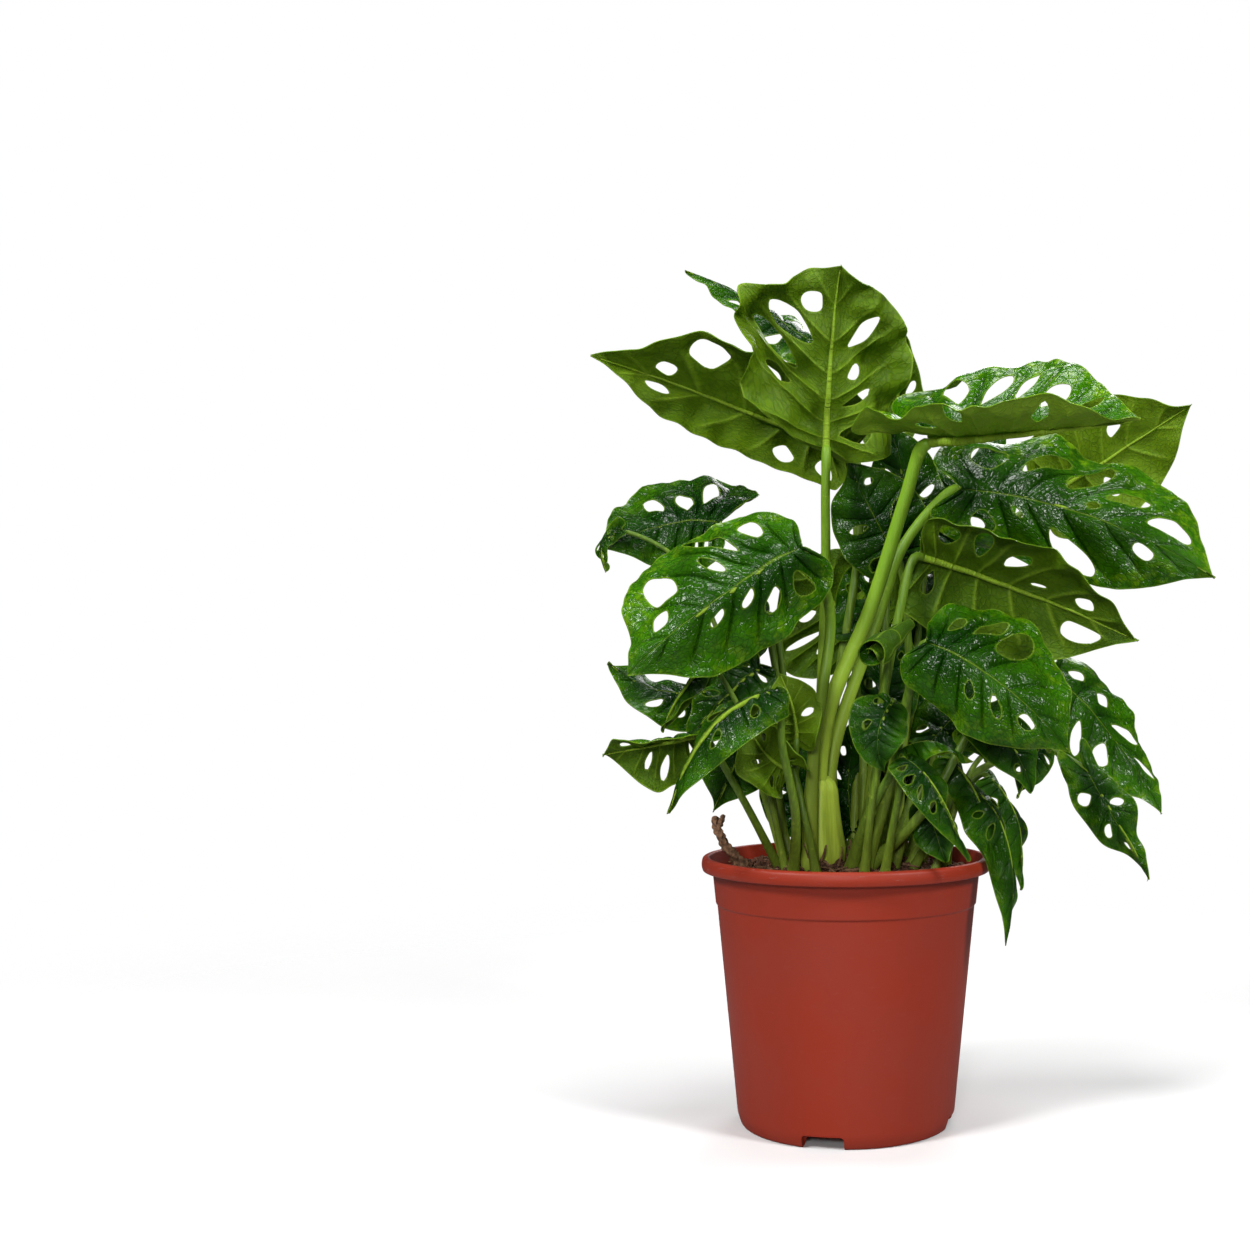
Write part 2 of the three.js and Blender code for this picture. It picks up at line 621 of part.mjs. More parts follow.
function makeDeadStem() {
  const lift = new THREE.Vector3(0, 0, potHeight - tableCrest);
  const route = (points) => points.map((p) => new THREE.Vector3(...p).add(lift));
  const stem = solidOf(taperedTube(route(deadStem), 3, 2));
  const fork = solidOf(taperedTube(route(deadFork), 2, 1.4));
  place("dead_stem", geometryOf(stem.add(fork)), deadBrown);
}

makePot();
makeSoil();
makeRolledLeaf();
makeDeadStem();
for (const leaf of leaves.map(settle)) {
  place(`leaf_${leaf.name}`, makeBlade(leaf), leafGreen);
  place(`stalk_${leaf.name}`, makeStalk(leaf), stalkGreen);
}

export default plant;
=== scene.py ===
"""A potted Swiss-cheese plant: fine leaves, stalks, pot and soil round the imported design."""

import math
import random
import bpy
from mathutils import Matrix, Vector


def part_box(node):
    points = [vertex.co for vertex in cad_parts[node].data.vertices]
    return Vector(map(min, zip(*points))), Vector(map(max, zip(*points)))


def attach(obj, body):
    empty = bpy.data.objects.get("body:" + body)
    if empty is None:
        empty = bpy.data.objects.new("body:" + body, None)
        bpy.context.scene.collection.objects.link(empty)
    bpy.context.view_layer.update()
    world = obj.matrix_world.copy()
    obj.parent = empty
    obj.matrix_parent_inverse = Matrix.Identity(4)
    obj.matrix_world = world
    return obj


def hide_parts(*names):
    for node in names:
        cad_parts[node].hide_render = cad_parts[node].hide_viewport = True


bl_info = {
    "name": "Potted Swiss-Cheese Plant",
    "version": (1, 0, 0),
    "blender": (4, 5, 0),
    "location": "View3D > Sidebar > Plant",
    "description": "Builds a split-leaved climbing plant in its nursery pot, leaf by leaf",
    "category": "Add Mesh",
}

import bpy
import numpy as np
from mathutils import Matrix, Vector, noise
from mathutils.kdtree import KDTree

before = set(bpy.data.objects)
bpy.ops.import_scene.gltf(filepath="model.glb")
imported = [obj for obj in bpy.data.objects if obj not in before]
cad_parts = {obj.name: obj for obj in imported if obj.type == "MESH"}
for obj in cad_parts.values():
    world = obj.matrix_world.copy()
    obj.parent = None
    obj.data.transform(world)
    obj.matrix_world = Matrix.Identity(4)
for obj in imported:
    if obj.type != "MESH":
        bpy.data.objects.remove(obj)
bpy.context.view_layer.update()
POT_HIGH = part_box("pot")[1]
MM = 0.001

# ---------------------------------------------------------------- leaves, in millimetres
# base, mid and tip lie on the midrib; face is the way the upper side looks; half is each
# half's width and fold how steeply it droops, first the half on the right when the tip points up.
# A window is the gap between two side veins that it lies in, where it starts and ends across
# the half (negative on the second half), and how much of the gap it fills.
VEIN_GAPS = 8


def row(name, base, mid, tip, face, half, fold, foot, via, thick, windows=(), **shape):
    """A leaf's row; its stalk goes from the foot through the via points, as thick as given at both ends."""
    return dict(
        name=name, base=base, mid=mid, tip=tip, face=face, half=half, fold=fold,
        foot=foot, via=via, thick=thick, windows=windows, **shape,
    )


# Each leaf's tone number, from dark green to yellow-green, is partly the leaf's own colour and partly
# painted shade that darkens leaves hanging in shadow.
LEAVES = [
    row("top", (-12, -2, 394), (-9, -10, 450), (-3, -30, 496), (0, 1, 0.2), (62, 46), (5, -12), (-15, 9),
        [(-15, 9, 230), (-12, 4, 324), (-12, -6, 370)], (4.5, 2.6), [(4, 0.3, 0.75, 0.8),
        (5, 0.25, 0.8, 0.85), (3, 0.35, 0.6, 0.6), (5, -0.3, -0.8, 0.6), (4, -0.25, -0.45, 0.5),
        (6, 0.3, 0.7, 0.7)], curl=(30, -10), sweep=(0.3, 0.0), lobe=0.6, shoulder=0.5, crumple=2.4,
        tone=0.6, pale=0.7),
    row("top_left", (2, 58, 398), (-80, 42, 431), (-153, 14, 453), (-0.2, 0.75, 0.6), (28, 60), (40, 10),
        (-6, 24), [(-8, 42, 230), (8, 46, 345)], (4, 2.4), [(4, -0.35, -0.75, 0.7), (3, -0.35, -0.55, 0.5),
        (5, -0.45, -0.9, 0.8)], curl=(20, 30), lobe=0.2, tone=0.6),
    row("top_back", (-20, 74, 472), (-61, 80, 502), (-102, 70, 519), (-0.2, -0.4, 1), (30, 28), (20, 20),
        (4, 34), [(8, 60, 240), (2, 76, 400)], (3.5, 2), [(3, 0.3, 0.8, 0.5), (4, 0.3, 0.8, 0.5),
        (3, -0.3, -0.8, 0.5)], tone=0.2),
    # top_right's last number is painted light: a glow of light shining through its underside.
    row("top_right", (47, -31, 399), (104, -64, 397), (158, -85, 399), (0, 0, 1), (48, 68), (-10, -56),
        (-17, -10), [(-17, -12, 190), (-10, -10, 242), (14, -12, 300), (34, -23, 363)], (6.5, 3.6),
        [(2, -0.4, -0.75, 0.5), (3, -0.35, -0.8, 0.5), (4, -0.35, -0.8, 0.45), (5, -0.3, -0.7, 0.5)],
        curl=(0, 25), lobe=3.2, tone=0.6, pale=1.0, bright=0.9),
    row("right_back", (134, 118, 383), (181, 122, 411), (227, 106, 440), (0, 0.9, 0.4), (48, 42), (10, 10),
        (30, 24), [(40, 44, 240), (88, 96, 346)], (3.5, 2), [(3, 0.3, 0.6, 0.5), (5, 0.3, 0.6, 0.5)],
        tone=0.95),
    row("right_big", (68, 0, 372), (144, 8, 357), (216, -8, 319), (0.1, -0.85, 0.5), (40, 62), (30, 5),
        (-9, 0), [(-10, 1, 200), (-3, 2, 234), (17, 2, 289), (35, 0, 340)], (5.5, 2.8),
        [(2, -0.35, -0.75, 0.5), (3, -0.3, -0.75, 0.6), (4, -0.3, -0.75, 0.6), (5, -0.35, -0.7, 0.5),
        (4, 0.35, 0.9, 0.85), (6, -0.4, -0.85, 0.7), (3, 0.15, 0.3, 0.3), (5, -0.1, -0.22, 0.3)],
        curl=(20, 20), sweep=(0.05, 0.12), lobe=1.4, shoulder=0.6, tone=0.5, pale=0.7),
    row("right_low", (43, -22, 333), (109, -16, 309), (169, -20, 282), (0.1, 0.8, 0.6), (42, 44), (10, 20),
        (10, -11), [(17, -21, 220), (31, -28, 300)], (4, 2.4), [(2, 0.35, 0.7, 0.7), (4, 0.3, 0.6, 0.5),
        (6, -0.35, -0.85, 0.9), (5, 0.15, 0.25, 0.35), (6, 0.2, 0.6, 0.5)], curl=(20, 20), lobe=0.4,
        tone=0.35, pale=0.3),
    row("front_right", (43, -85, 280), (81, -97, 258), (119, -95, 221), (0, -0.85, 0.5), (34, 54), (15, 10),
        (10, -33), [(24, -48, 200), (34, -62, 250)], (4, 2.4), [(4, -0.3, -0.85, 0.95),
        (3, -0.35, -0.75, 0.6), (2, -0.3, -0.6, 0.4), (4, 0.25, 0.5, 0.4)], curl=(40, 30), shoulder=0.65,
        tone=0.3),
    row("right_droop", (123, 68, 271), (169, 80, 225), (200, 68, 174), (0.5, -0.7, 0.4), (38, 38), (20, 15),
        (37, 15), [(58, 34, 220), (94, 58, 266)], (3.5, 2), [(5, 0.3, 0.75, 0.6), (3, -0.3, -0.6, 0.5)],
        tone=0.45),
    row("far_right", (141, -10, 205), (156, -16, 178), (175, -20, 144), (0.3, -0.9, 0.2), (17, 15),
        (20, 25), (36, -4), [(62, -8, 194), (92, -3, 213), (116, 8, 219)], (3, 1.8), [(3, 0.3, 0.8, 0.8)],
        lobe=3, twist=50, wave=3, crumple=1.6, tone=0.45),
    row("left_big", (-24, -75, 332), (-70, -92, 302), (-116, -95, 262), (-0.2, -0.85, 0.5), (66, 40),
        (5, 45), (-21, -23), [(-18, -32, 222), (-13, -43, 255), (-9, -43, 298)], (5, 2.6),
        [(5, 0.45, 0.85, 0.9), (3, 0.3, 0.9, 0.55), (4, 0.2, 0.45, 0.4), (3, -0.3, -0.6, 0.6),
        (6, 0.3, 0.6, 0.6), (4, -0.15, -0.35, 0.4), (5, -0.2, -0.4, 0.4), (2, 0.4, 0.75, 0.4)],
        curl=(25, 20), sweep=(0.08, 0), lobe=1.3, shoulder=0.6, tone=0.4, pale=0.4),
    row("left_back", (-76, 28, 355), (-110, 38, 355), (-148, 28, 339), (0, -0.7, 0.7), (61, 36), (0, 30),
        (-25, 16), [(-36, 18, 230), (-56, 24, 322)], (3.5, 2), [(3, 0.25, 0.7, 0.6), (4, 0.15, 0.6, 0.6)],
        curl=(30, 30), sweep=(0.1, 0), tone=0.1),
    row("left_curly", (-76, 14, 257), (-108, 8, 252), (-140, 0, 270), (0, -0.5, 0.85), (24, 26), (20, 30),
        (-35, 3), [(-54, 7, 208)], (3, 1.8), [(4, -0.3, -0.7, 0.6)], wave=2, tone=0.15),
    row("left_front", (-39, -75, 254), (-72, -98, 236), (-95, -92, 188), (-0.5, -0.6, 0.6), (28, 22),
        (32, 35), (-30, -31), [(-28, -57, 185), (-35, -71, 226)], (3.5, 2), [(4, 0.3, 0.7, 0.6),
        (3, -0.3, -0.6, 0.5), (5, -0.3, -0.6, 0.5)], curl=(15, 15), lobe=0.2, wave=2, tone=0.15),
    row("left_low", (-84, -54, 230), (-108, -63, 224), (-134, -63, 218), (0, 0.7, 0.7), (26, 24), (10, 20),
        (-37, -10), [(-62, -48, 200)], (3, 1.8), [(3, -0.3, -0.6, 0.5)], curl=(110, 30), wave=1.5,
        tone=0.4),
    row("left_inner", (-55, -33, 242), (-63, -42, 214), (-75, -44, 185), (0.1, -0.9, 0.3), (24, 24),
        (20, 20), (-34, 14), [(-42, 3, 205)], (3, 1.8), [(4, -0.3, -0.8, 0.9)], tone=0.15),
    row("small_pale", (-28, -38, 224), (-30, -36, 243), (-38, -28, 263), (0.2, 0.9, 0.3), (18, 18),
        (15, 15), (-30, -17), [(-29, -29, 190)], (3, 1.6), tone=0.7),
    row("small_cup", (-34, -40, 210), (-44, -48, 217), (-57, -42, 235), (-0.2, 0.8, 0.5), (22, 22),
        (20, 20), (-16, -38), [(-23, -44, 182)], (3, 1.6), curl=(40, 40), tone=0.6),
    row("middle_back", (12, 60, 286), (-10, 68, 310), (-39, 58, 335), (0.1, 0.95, 0.2), (52, 48), (10, 10),
        (16, 26), [(16, 42, 210)], (3.5, 2), [(3, 0.3, 0.6, 0.6), (4, -0.3, -0.65, 0.6),
        (5, 0.3, 0.6, 0.5)], tone=0.35),
    row("middle_dark", (32, 14, 331), (14, 10, 362), (2, 12, 390), (-0.3, -0.9, 0.3), (30, 28), (15, 15),
        (25, 12), [(38, 25, 262)], (3.5, 2), [(4, 0.3, 0.7, 0.6)], lobe=0.6, tone=0.0),
    row("middle_right", (54, 76, 349), (78, 112, 391), (109, 142, 428), (-0.2, -0.9, 0.4), (42, 40),
        (10, 10), (34, 40), [(42, 60, 250)], (3.5, 2), [(3, 0.3, 0.7, 0.6), (4, -0.3, -0.7, 0.6)],
        tone=0.1),
    row("low_middle", (25, -69, 249), (17, -81, 230), (21, -75, 209), (0, -1, 0.2), (17, 17), (20, 20),
        (10, -42), [(16, -58, 200)], (3, 1.6), [(4, 0.3, 0.6, 0.6)], tone=0.1),
    row("low_narrow", (33, -76, 216), (50, -86, 198), (66, -78, 161), (0.5, -0.8, 0.4), (15, 14), (30, 30),
        (21, -42), [(28, -60, 190)], (3, 1.6), tone=0.15),
    row("low_dark", (45, -36, 191), (50, -45, 175), (56, -47, 157), (-0.1, -0.9, 0.2), (14, 14), (20, 20),
        (24, -16), [(36, -25, 174)], (3, 1.8), [(4, -0.3, -0.7, 0.8)], tone=0.0),
    row("over_rim", (69, -34, 200), (92, -40, 165), (90, -40, 109), (0.6, -0.7, 0.3), (18, 17), (30, 30),
        (38, -13), [(56, -22, 182)], (3, 1.8), [(4, -0.3, -0.7, 0.8)], curl=(30, 30), lobe=0.5, wave=1.5,
        tone=0.15),
    row("behind_rim", (84, 3, 202), (102, 4, 174), (103, 0, 135), (0.7, -0.6, 0.3), (18, 18), (35, 35),
        (42, 8), [(64, 9, 184)], (3, 1.8), [(3, 0.3, 0.7, 0.9)], lobe=0.5, tone=0.4),
    row("low_twist", (68, -30, 233), (77, -38, 226), (80, -37, 212), (0.3, -0.7, 0.6), (14, 13), (30, 30),
        (58, -8), [(64, -17, 205)], (3, 1.6), tone=0.5),
    row("low_cup", (112, -32, 224), (104, -40, 209), (97, -36, 192), (0, -0.9, 0.4), (12, 12), (20, 20),
        (49, -27), [(80, -16, 216)], (2.5, 1.3), lobe=0.3, tone=0.1),
]

# Small leaves that fill the inside of the plant, in the same way as the rows above; their tone near 0
# paints them dark, as painted shade deep inside the plant.
INNER_LEAVES = [
    row("deep_left", (-26, 34, 172), (-33, 42, 200), (-44, 38, 236), (0.1, -0.95, 0.2), (25, 24), (15, 20),
        (-12, 26), [(-18, 29, 160)], (3, 2), tone=0.0),
    row("deep_middle", (4, 36, 166), (2, 46, 198), (6, 40, 236), (0, -0.95, 0.2), (25, 27), (20, 15),
        (2, 28), [(3, 32, 158)], (3, 2), tone=0.0),
    row("deep_right", (30, 34, 168), (38, 44, 196), (52, 38, 230), (-0.1, -0.95, 0.2), (24, 25), (20, 20),
        (20, 26), [(24, 30, 160)], (3, 2), tone=0.0),
    row("deep_high", (20, 30, 236), (26, 38, 262), (38, 32, 294), (-0.1, -0.95, 0.2), (22, 23), (20, 20),
        (14, 22), [(17, 26, 190)], (3, 2), tone=0.05),
    row("inner_dark", (8, 40, 285), (22, 54, 318), (30, 50, 354), (0, -0.9, 0.3), (28, 26), (20, 15),
        (10, 18), [(10, 26, 220)], (3, 2), tone=0.05),
    row("inner_high", (30, 44, 350), (36, 58, 385), (24, 52, 420), (-0.1, -0.9, 0.3), (26, 26), (15, 25),
        (14, 20), [(22, 30, 250)], (3, 2), tone=0.0),
    row("inner_right", (40, 46, 250), (54, 60, 280), (74, 52, 308), (0.2, -0.8, 0.4), (28, 26), (20, 25),
        (20, 14), [(30, 30, 200)], (3, 2), tone=0.1),
    row("inner_low", (52, 28, 222), (78, 40, 250), (102, 34, 280), (0.1, -0.8, 0.5), (26, 26), (25, 20),
        (24, 4), [(38, 18, 185)], (3, 2), crumple=1.4, tone=0.15),
    row("inner_shade", (30, 80, 300), (60, 88, 318), (92, 84, 316), (0, -0.8, 0.6), (30, 34), (15, 25),
        (22, 34), [(28, 60, 230)], (3, 2), tone=0.1),
    row("left_shade", (-46, 6, 300), (-66, -4, 284), (-86, -4, 252), (-0.2, -0.9, 0.3), (20, 22), (30, 25),
        (-24, 0), [(-34, 6, 230)], (3, 2), curl=(40, 40), twist=40, crumple=1.8, tone=0.0),
    row("left_strip", (-79, -48, 270), (-92, -60, 254), (-102, -52, 230), (-0.3, -0.8, 0.4), (9, 10),
        (30, 30), (-34, -20), [(-52, -36, 225)], (2.5, 1.4), twist=110, tone=0.2),
    row("left_inner_low", (-50, -16, 268), (-70, -26, 250), (-92, -20, 224), (-0.2, -0.9, 0.3), (18, 18),
        (25, 30), (-26, -10), [(-34, -12, 210)], (3, 1.6), crumple=1.6, tone=0.15),
    row("left_curl", (-136, 26, 350), (-148, 24, 341), (-145, 22, 324), (-0.6, -0.7, 0.2), (5, 5), (20, 20),
        (-30, 8), [(-60, 20, 240), (-100, 28, 330)], (2.5, 1.2), tone=0.3),
    row("back_spike", (24, 84, 410), (34, 88, 445), (38, 66, 478), (0.2, 0.8, 0.4), (20, 20), (25, 25),
        (12, 40), [(14, 66, 280)], (3, 2), tone=0.4),
    row("rim_front", (58, -28, 214), (76, -38, 188), (83, -36, 150), (0.5, -0.8, 0.3), (13, 12), (35, 30),
        (26, -24), [(40, -28, 188)], (3.5, 1.8), twist=30, crumple=1.5, tone=0.3),
    row("crown_fold", (28, -58, 218), (46, -66, 226), (70, -60, 214), (0.2, -0.5, 0.8), (12, 16), (30, 45),
        (2, -28), [(12, -46, 182)], (4.5, 2), twist=-40, crumple=1.5, tone=0.7),
    row("crown_right", (74, -48, 236), (92, -56, 222), (104, -48, 196), (0.4, -0.8, 0.4), (15, 16),
        (30, 25), (8, -26), [(44, -44, 186)], (5, 2), twist=30, crumple=1.4, tone=0.2),
    row("back_low", (-20, 70, 225), (-42, 92, 236), (-70, 104, 222), (-0.1, 0.6, 0.8), (26, 28), (15, 20),
        (0, 36), [(-8, 54, 190)], (3, 2), tone=0.3),
    row("back_right", (44, 84, 240), (66, 108, 246), (96, 122, 226), (0.1, 0.6, 0.8), (26, 26), (15, 20),
        (24, 40), [(32, 60, 196)], (3, 2), tone=0.25),
]

# One half of a flat leaf from the notch at the stalk round to the tip: along the midrib, out from it.
MARGIN = [
    (0, 0), (-0.09, 0.36), (-0.06, 0.7), (0.09, 0.93), (0.29, 1),
    (0.52, 0.88), (0.72, 0.59), (0.88, 0.22), (1, 0),
]

# The young rolled leaf, and the places that its stalk and the withered stem pass through.
ROLLED = dict(mouth=(13, -68, 272), end=(36, -46, 291), radius=9.6, turns=1.6, tone=0.0)
ROLLED_STALK = [(4, -22, 149), (18, -44, 215), (24, -58, 276)]
DEAD_STEM = [(-57, -14, 150), (-66, -14, 158), (-73, -13, 168), (-77, -12, 180)]
DEAD_FORK = [(-75, -13, 172), (-72.5, -13.5, 177), (-71, -14, 181)]

# The sheath that the tall stalks share, and the middle of the ring of dry scraps round it.
CROWN = [(-13, -8, 145), (-14, -9, 160), (-15, -10, 180), (-15, -9, 204)]
SCRAPS, SCRAPS_MIDDLE = 22, (-13, -8)

# The pot: its stepped band below the rim, four notches in the foot ring, six drain holes.
BAND_DROP = 28
CHANNEL = dict(inner=32, outer=55, height=9)
FLOOR_TOP = 10.5
NOTCHES, NOTCH_TURN, NOTCH_SIZE, NOTCH_HEIGHT = 4, 12, (14, 24, 9.5), 2.75
DRAINS, DRAIN_RADIUS, DRAIN_PLACE = 6, 4, (43.5, 0, 9.75)

# The soil: how far it lies below the rim and crumbs lie from the middle, the rings and sides of
# its mesh, the crumbs' sizes, and its low mound.
SOIL_DROP, SOIL_REACH = 9, 69
TOP_RINGS, SOIL_SIDES = 70, 150
CRUMB_SIZES = (0.9, 1.2, 1.6, 2.2, 3.0)
MOUND_PLACE, MOUND_REACH, MOUND_HEIGHT = (5, -5), 45, 5

# How far in from a leaf's edge its pale rim fades, and the range of the random turns, in radians.
RIM_WIDTH = 0.8
FULL_TURN = 6.28


# ---------------------------------------------------------------- settings
def measure(name, description, millimetres):
    settings = dict(name=name, description=description, default=millimetres * MM)
    return bpy.props.FloatProperty(unit="LENGTH", **settings)


class PlantSizes(bpy.types.PropertyGroup):
    """Sizes of the fine surfaces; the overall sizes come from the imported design."""

    leaf_thickness: measure("Leaf thickness", "Thickness of a leaf blade", 0.5)
    leaf_relief: measure("Leaf relief", "How far the blade swells between its side veins", 2.8)
    margin_ripple: measure("Margin ripple", "Small waves along a leaf's margin", 0.9)
    rim_band: measure("Rim band", "Height of the pot's rolled rim", 8)
    rim_overhang: measure("Rim overhang", "How far the rim stands out from the wall", 6.5)
    pot_wall: measure("Pot wall", "Thickness of the pot's wall", 1.5)
    foot_radius: measure("Foot radius", "Outer radius of the ring the pot stands on", 61.5)
    crumbs: bpy.props.IntProperty(
        name="Soil crumbs", description="Loose crumbs of peat on the soil", default=1500, min=0
    )
    fibres: bpy.props.IntProperty(
        name="Soil fibres", description="Loose fibres lying on the soil", default=140, min=0
    )


def colour(name, description, default):
    return bpy.props.FloatVectorProperty(
        name=name, description=description, default=default, size=3, min=0, max=1, subtype="COLOR"
    )


class PlantColours(bpy.types.PropertyGroup):
    """Linear colours of the plant and its pot."""

    # The dark and light colours, upper side and underside, are mixed by each leaf's tone number: partly its
    # own age and colour, partly painted shade for leaves in shadow.
    leaf_dark: colour("Dark leaf", "Upper side of an old leaf", (0.0028, 0.027, 0.0004))
    leaf_light: colour("Light leaf", "Upper side of a young leaf", (0.034, 0.145, 0.0008))
    leaf_mottle: colour("Mottling", "Yellow-green patches near the margin", (0.17, 0.32, 0.004))
    under_dark: colour("Dark underside", "Underside of an old leaf", (0.026, 0.075, 0.0015))
    under_light: colour("Light underside", "Underside of a young leaf", (0.125, 0.225, 0.004))
    vein: colour("Veins", "Midrib and side veins", (0.27, 0.42, 0.03))
    stalk: colour("Stalk", "Leaf stalks near the blade", (0.20, 0.40, 0.018))
    stalk_base: colour("Stalk foot", "Leaf stalks near the soil", (0.64, 0.80, 0.09))
    # The side-stalk colour is partly the stalks' own greyer green and partly painted shade on stalks that
    # stand in shadow.
    stalk_deep: colour("Side stalks", "Thin stalks round the pale middle ones", (0.032, 0.066, 0.006))
    pot: colour("Pot", "Terracotta-red plastic", (0.295, 0.0255, 0.0085))
    peat: colour("Peat", "Damp peat", (0.13, 0.055, 0.030))
    straw: colour("Fibres", "Dry fibres and bark in the peat", (0.30, 0.16, 0.085))


def sizes():
    return bpy.context.scene.plant_sizes


def colours():
    return bpy.context.scene.plant_colours


# ---------------------------------------------------------------- shader maths
class Value:
    """A shader socket that can be added, multiplied and compared in an expression."""

    def __init__(self, shader, socket):
        self.shader = shader
        self.socket = socket

    def _maths(self, operation, other, turned=False):
        pair = (other, self) if turned else (self, other)
        return self.shader.add("ShaderNodeMath", {"operation": operation}, *pair)

    def __add__(self, other):
        return self._maths("ADD", other)

    def __sub__(self, other):
        return self._maths("SUBTRACT", other)

    def __mul__(self, other):
        return self._maths("MULTIPLY", other)

    def __rsub__(self, other):
        return self._maths("SUBTRACT", other, turned=True)

    __radd__ = __add__
    __rmul__ = __mul__

    def one(self, operation, *others):
        return self.shader.add("ShaderNodeMath", {"operation": operation}, self, *others)

    def step(self, low, high):
        """0 below low, 1 above high, and a smooth rise between them."""
        settings = {"interpolation_type": "SMOOTHSTEP"}
        return self.shader.add("ShaderNodeMapRange", settings, self, low, high, 0.0, 1.0)


class Shader:
    """Builds one Principled material from expressions."""

    def __init__(self, name, **constants):
        self.material = bpy.data.materials.new(name)
        self.material.use_nodes = True
        self.tree = self.material.node_tree
        self.principled = self.tree.nodes["Principled BSDF"]
        for socket, value in constants.items():
            label = socket.replace("_", " ").title().replace("Ior", "IOR")
            self.principled.inputs[label].default_value = value

    def add(self, kind, settings, *values, output=0, **named):
        node = self.tree.nodes.new(kind)
        for key, value in settings.items():
            setattr(node, key, value)
        for key, value in [*enumerate(values), *named.items()]:
            socket = node.inputs[key if isinstance(key, int) else key.replace("_", " ")]
            self.feed(socket, value)
        return Value(self, node.outputs[output])

    def feed(self, socket, value):
        if isinstance(value, Value):
            self.tree.links.new(value.socket, socket)
        elif value is not None:
            socket.default_value = value

    def object_coordinates(self):
        return self.add("ShaderNodeTexCoord", {}, output="Object")

    def flat_coordinates(self):
        """Vein position along the leaf, and place across it, 0 to 1."""
        return self.add("ShaderNodeUVMap", {"uv_map": "Blade"})

    def parts(self, vector):
        node = self.tree.nodes.new("ShaderNodeSeparateXYZ")
        self.tree.links.new(vector.socket, node.inputs[0])
        return [Value(self, output) for output in node.outputs]

    def attribute(self, name):
        return self.add("ShaderNodeAttribute", {"attribute_name": name}, output="Fac")

    def stretch(self, vector, scale):
        return self.add("ShaderNodeMapping", {}, vector, Scale=scale)

    def noise(self, vector, scale, detail=3.0, roughness=0.5):
        return self.add("ShaderNodeTexNoise", {}, vector, Scale=scale, Detail=detail, Roughness=roughness)

    def cells(self, vector, scale, feature="DISTANCE_TO_EDGE"):
        return self.add("ShaderNodeTexVoronoi", {"feature": feature}, vector, Scale=scale)

    def mix(self, factor, first, second):
        node = self.tree.nodes.new("ShaderNodeMix")
        node.data_type = "RGBA"
        self.feed(node.inputs["Factor"], factor)
        for key, value in (("A", first), ("B", second)):
            socket = next(s for s in node.inputs if s.name == key and s.type == "RGBA")
            self.feed(socket, value if isinstance(value, Value) else (*value, 1.0))
        return Value(self, next(s for s in node.outputs if s.type == "RGBA"))

    def bump(self, height, distance, strength=1.0):
        return self.add("ShaderNodeBump", {}, Height=height, Distance=distance, Strength=strength)

    def finish(self, base=None, roughness=None, normal=None):
        self.feed(self.principled.inputs["Base Color"], base)
        self.feed(self.principled.inputs["Roughness"], roughness)
        self.feed(self.principled.inputs["Normal"], normal)
        return self.material


# ---------------------------------------------------------------- materials
def vein_lines(shader, width):
    """How near the side veins and the midrib are, 1 on them, and how far out across the half."""
    along, across, _ = shader.parts(shader.flat_coordinates())
    out = (across * 2.0 - 1.0).one("ABSOLUTE")
    gap = (along * float(VEIN_GAPS)).one("FRACT")
    near = (gap - 0.5).one("ABSOLUTE")
    side = near.step(0.5 - width, 0.5) * (1.0 - out.step(0.6, 0.95))
    return side, 1.0 - out.step(0.004, 0.022), out


def fine_veins(shader, width):
    """The net of fine veins between the side veins, 1 on them."""
    flat = shader.stretch(shader.flat_coordinates(), (46.0, 26.0, 1.0))
    return 1.0 - shader.cells(flat, 1.0).step(0.0, width)


def rim_line(shader):
    """1 on a leaf's margin and on the edges of its windows."""
    return shader.attribute("rim").step(0.35, 1.0)


# Light that soaks through a thin blade and leaves it on the other side.
LEAF_GLOW = dict(subsurface_weight=0.45, subsurface_radius=(0.7, 1.0, 0.2), subsurface_scale=1.2 * MM)


def leaf_upper():
    tint = colours()
    shader = Shader("leaf_upper", specular_ior_level=0.19, **LEAF_GLOW)
    side, midrib, out = vein_lines(shader, 0.08)
    space = shader.object_coordinates()
    tone = shader.attribute("tone")
    clouds = shader.noise(space, 26.0, 3.0, 0.6)
    flecks = shader.noise(space, 130.0, 3.0, 0.65)
    along = shader.parts(shader.flat_coordinates())[0]
    # How light the upper side is: the margin, the tip, random clouds and the tone number, which is partly
    # painted shade for leaves in shadow.
    young = out.step(0.15, 1.0) * 0.35 + tone * 0.7 + along.step(0.35, 1.0) * 0.2 + (clouds - 0.5) * 1.1
    base = shader.mix(young.step(0.0, 0.9), tint.leaf_dark, tint.leaf_light)
    edge = out.step(0.4, 1.0) * flecks.step(0.45, 0.68) * (tone * 1.1 + 0.10)
    base = shader.mix(edge, base, tint.leaf_mottle)
    network = fine_veins(shader, 0.16)
    base = shader.mix(network * 0.38, base, tint.leaf_dark)
    # The side veins are darkened as painted shade in their sunken grooves.
    base = shader.mix(side * 0.55, base, tint.leaf_dark)
    base = shader.mix(midrib * 0.30, base, tint.vein)
    base = shader.mix(rim_line(shader) * 0.38, base, tint.vein)
    fine = shader.noise(space, 420.0, 2.0)
    wrinkles = shader.noise(space, 170.0, 3.0, 0.6)
    roughness = 0.11 + fine * 0.11 + clouds * 0.06
    height = wrinkles * 1.6 + fine * 0.25 - side * 0.9 - network * 0.35 - midrib * 1.0
    return shader.finish(base, roughness, shader.bump(height, 0.6 * MM, 0.9))


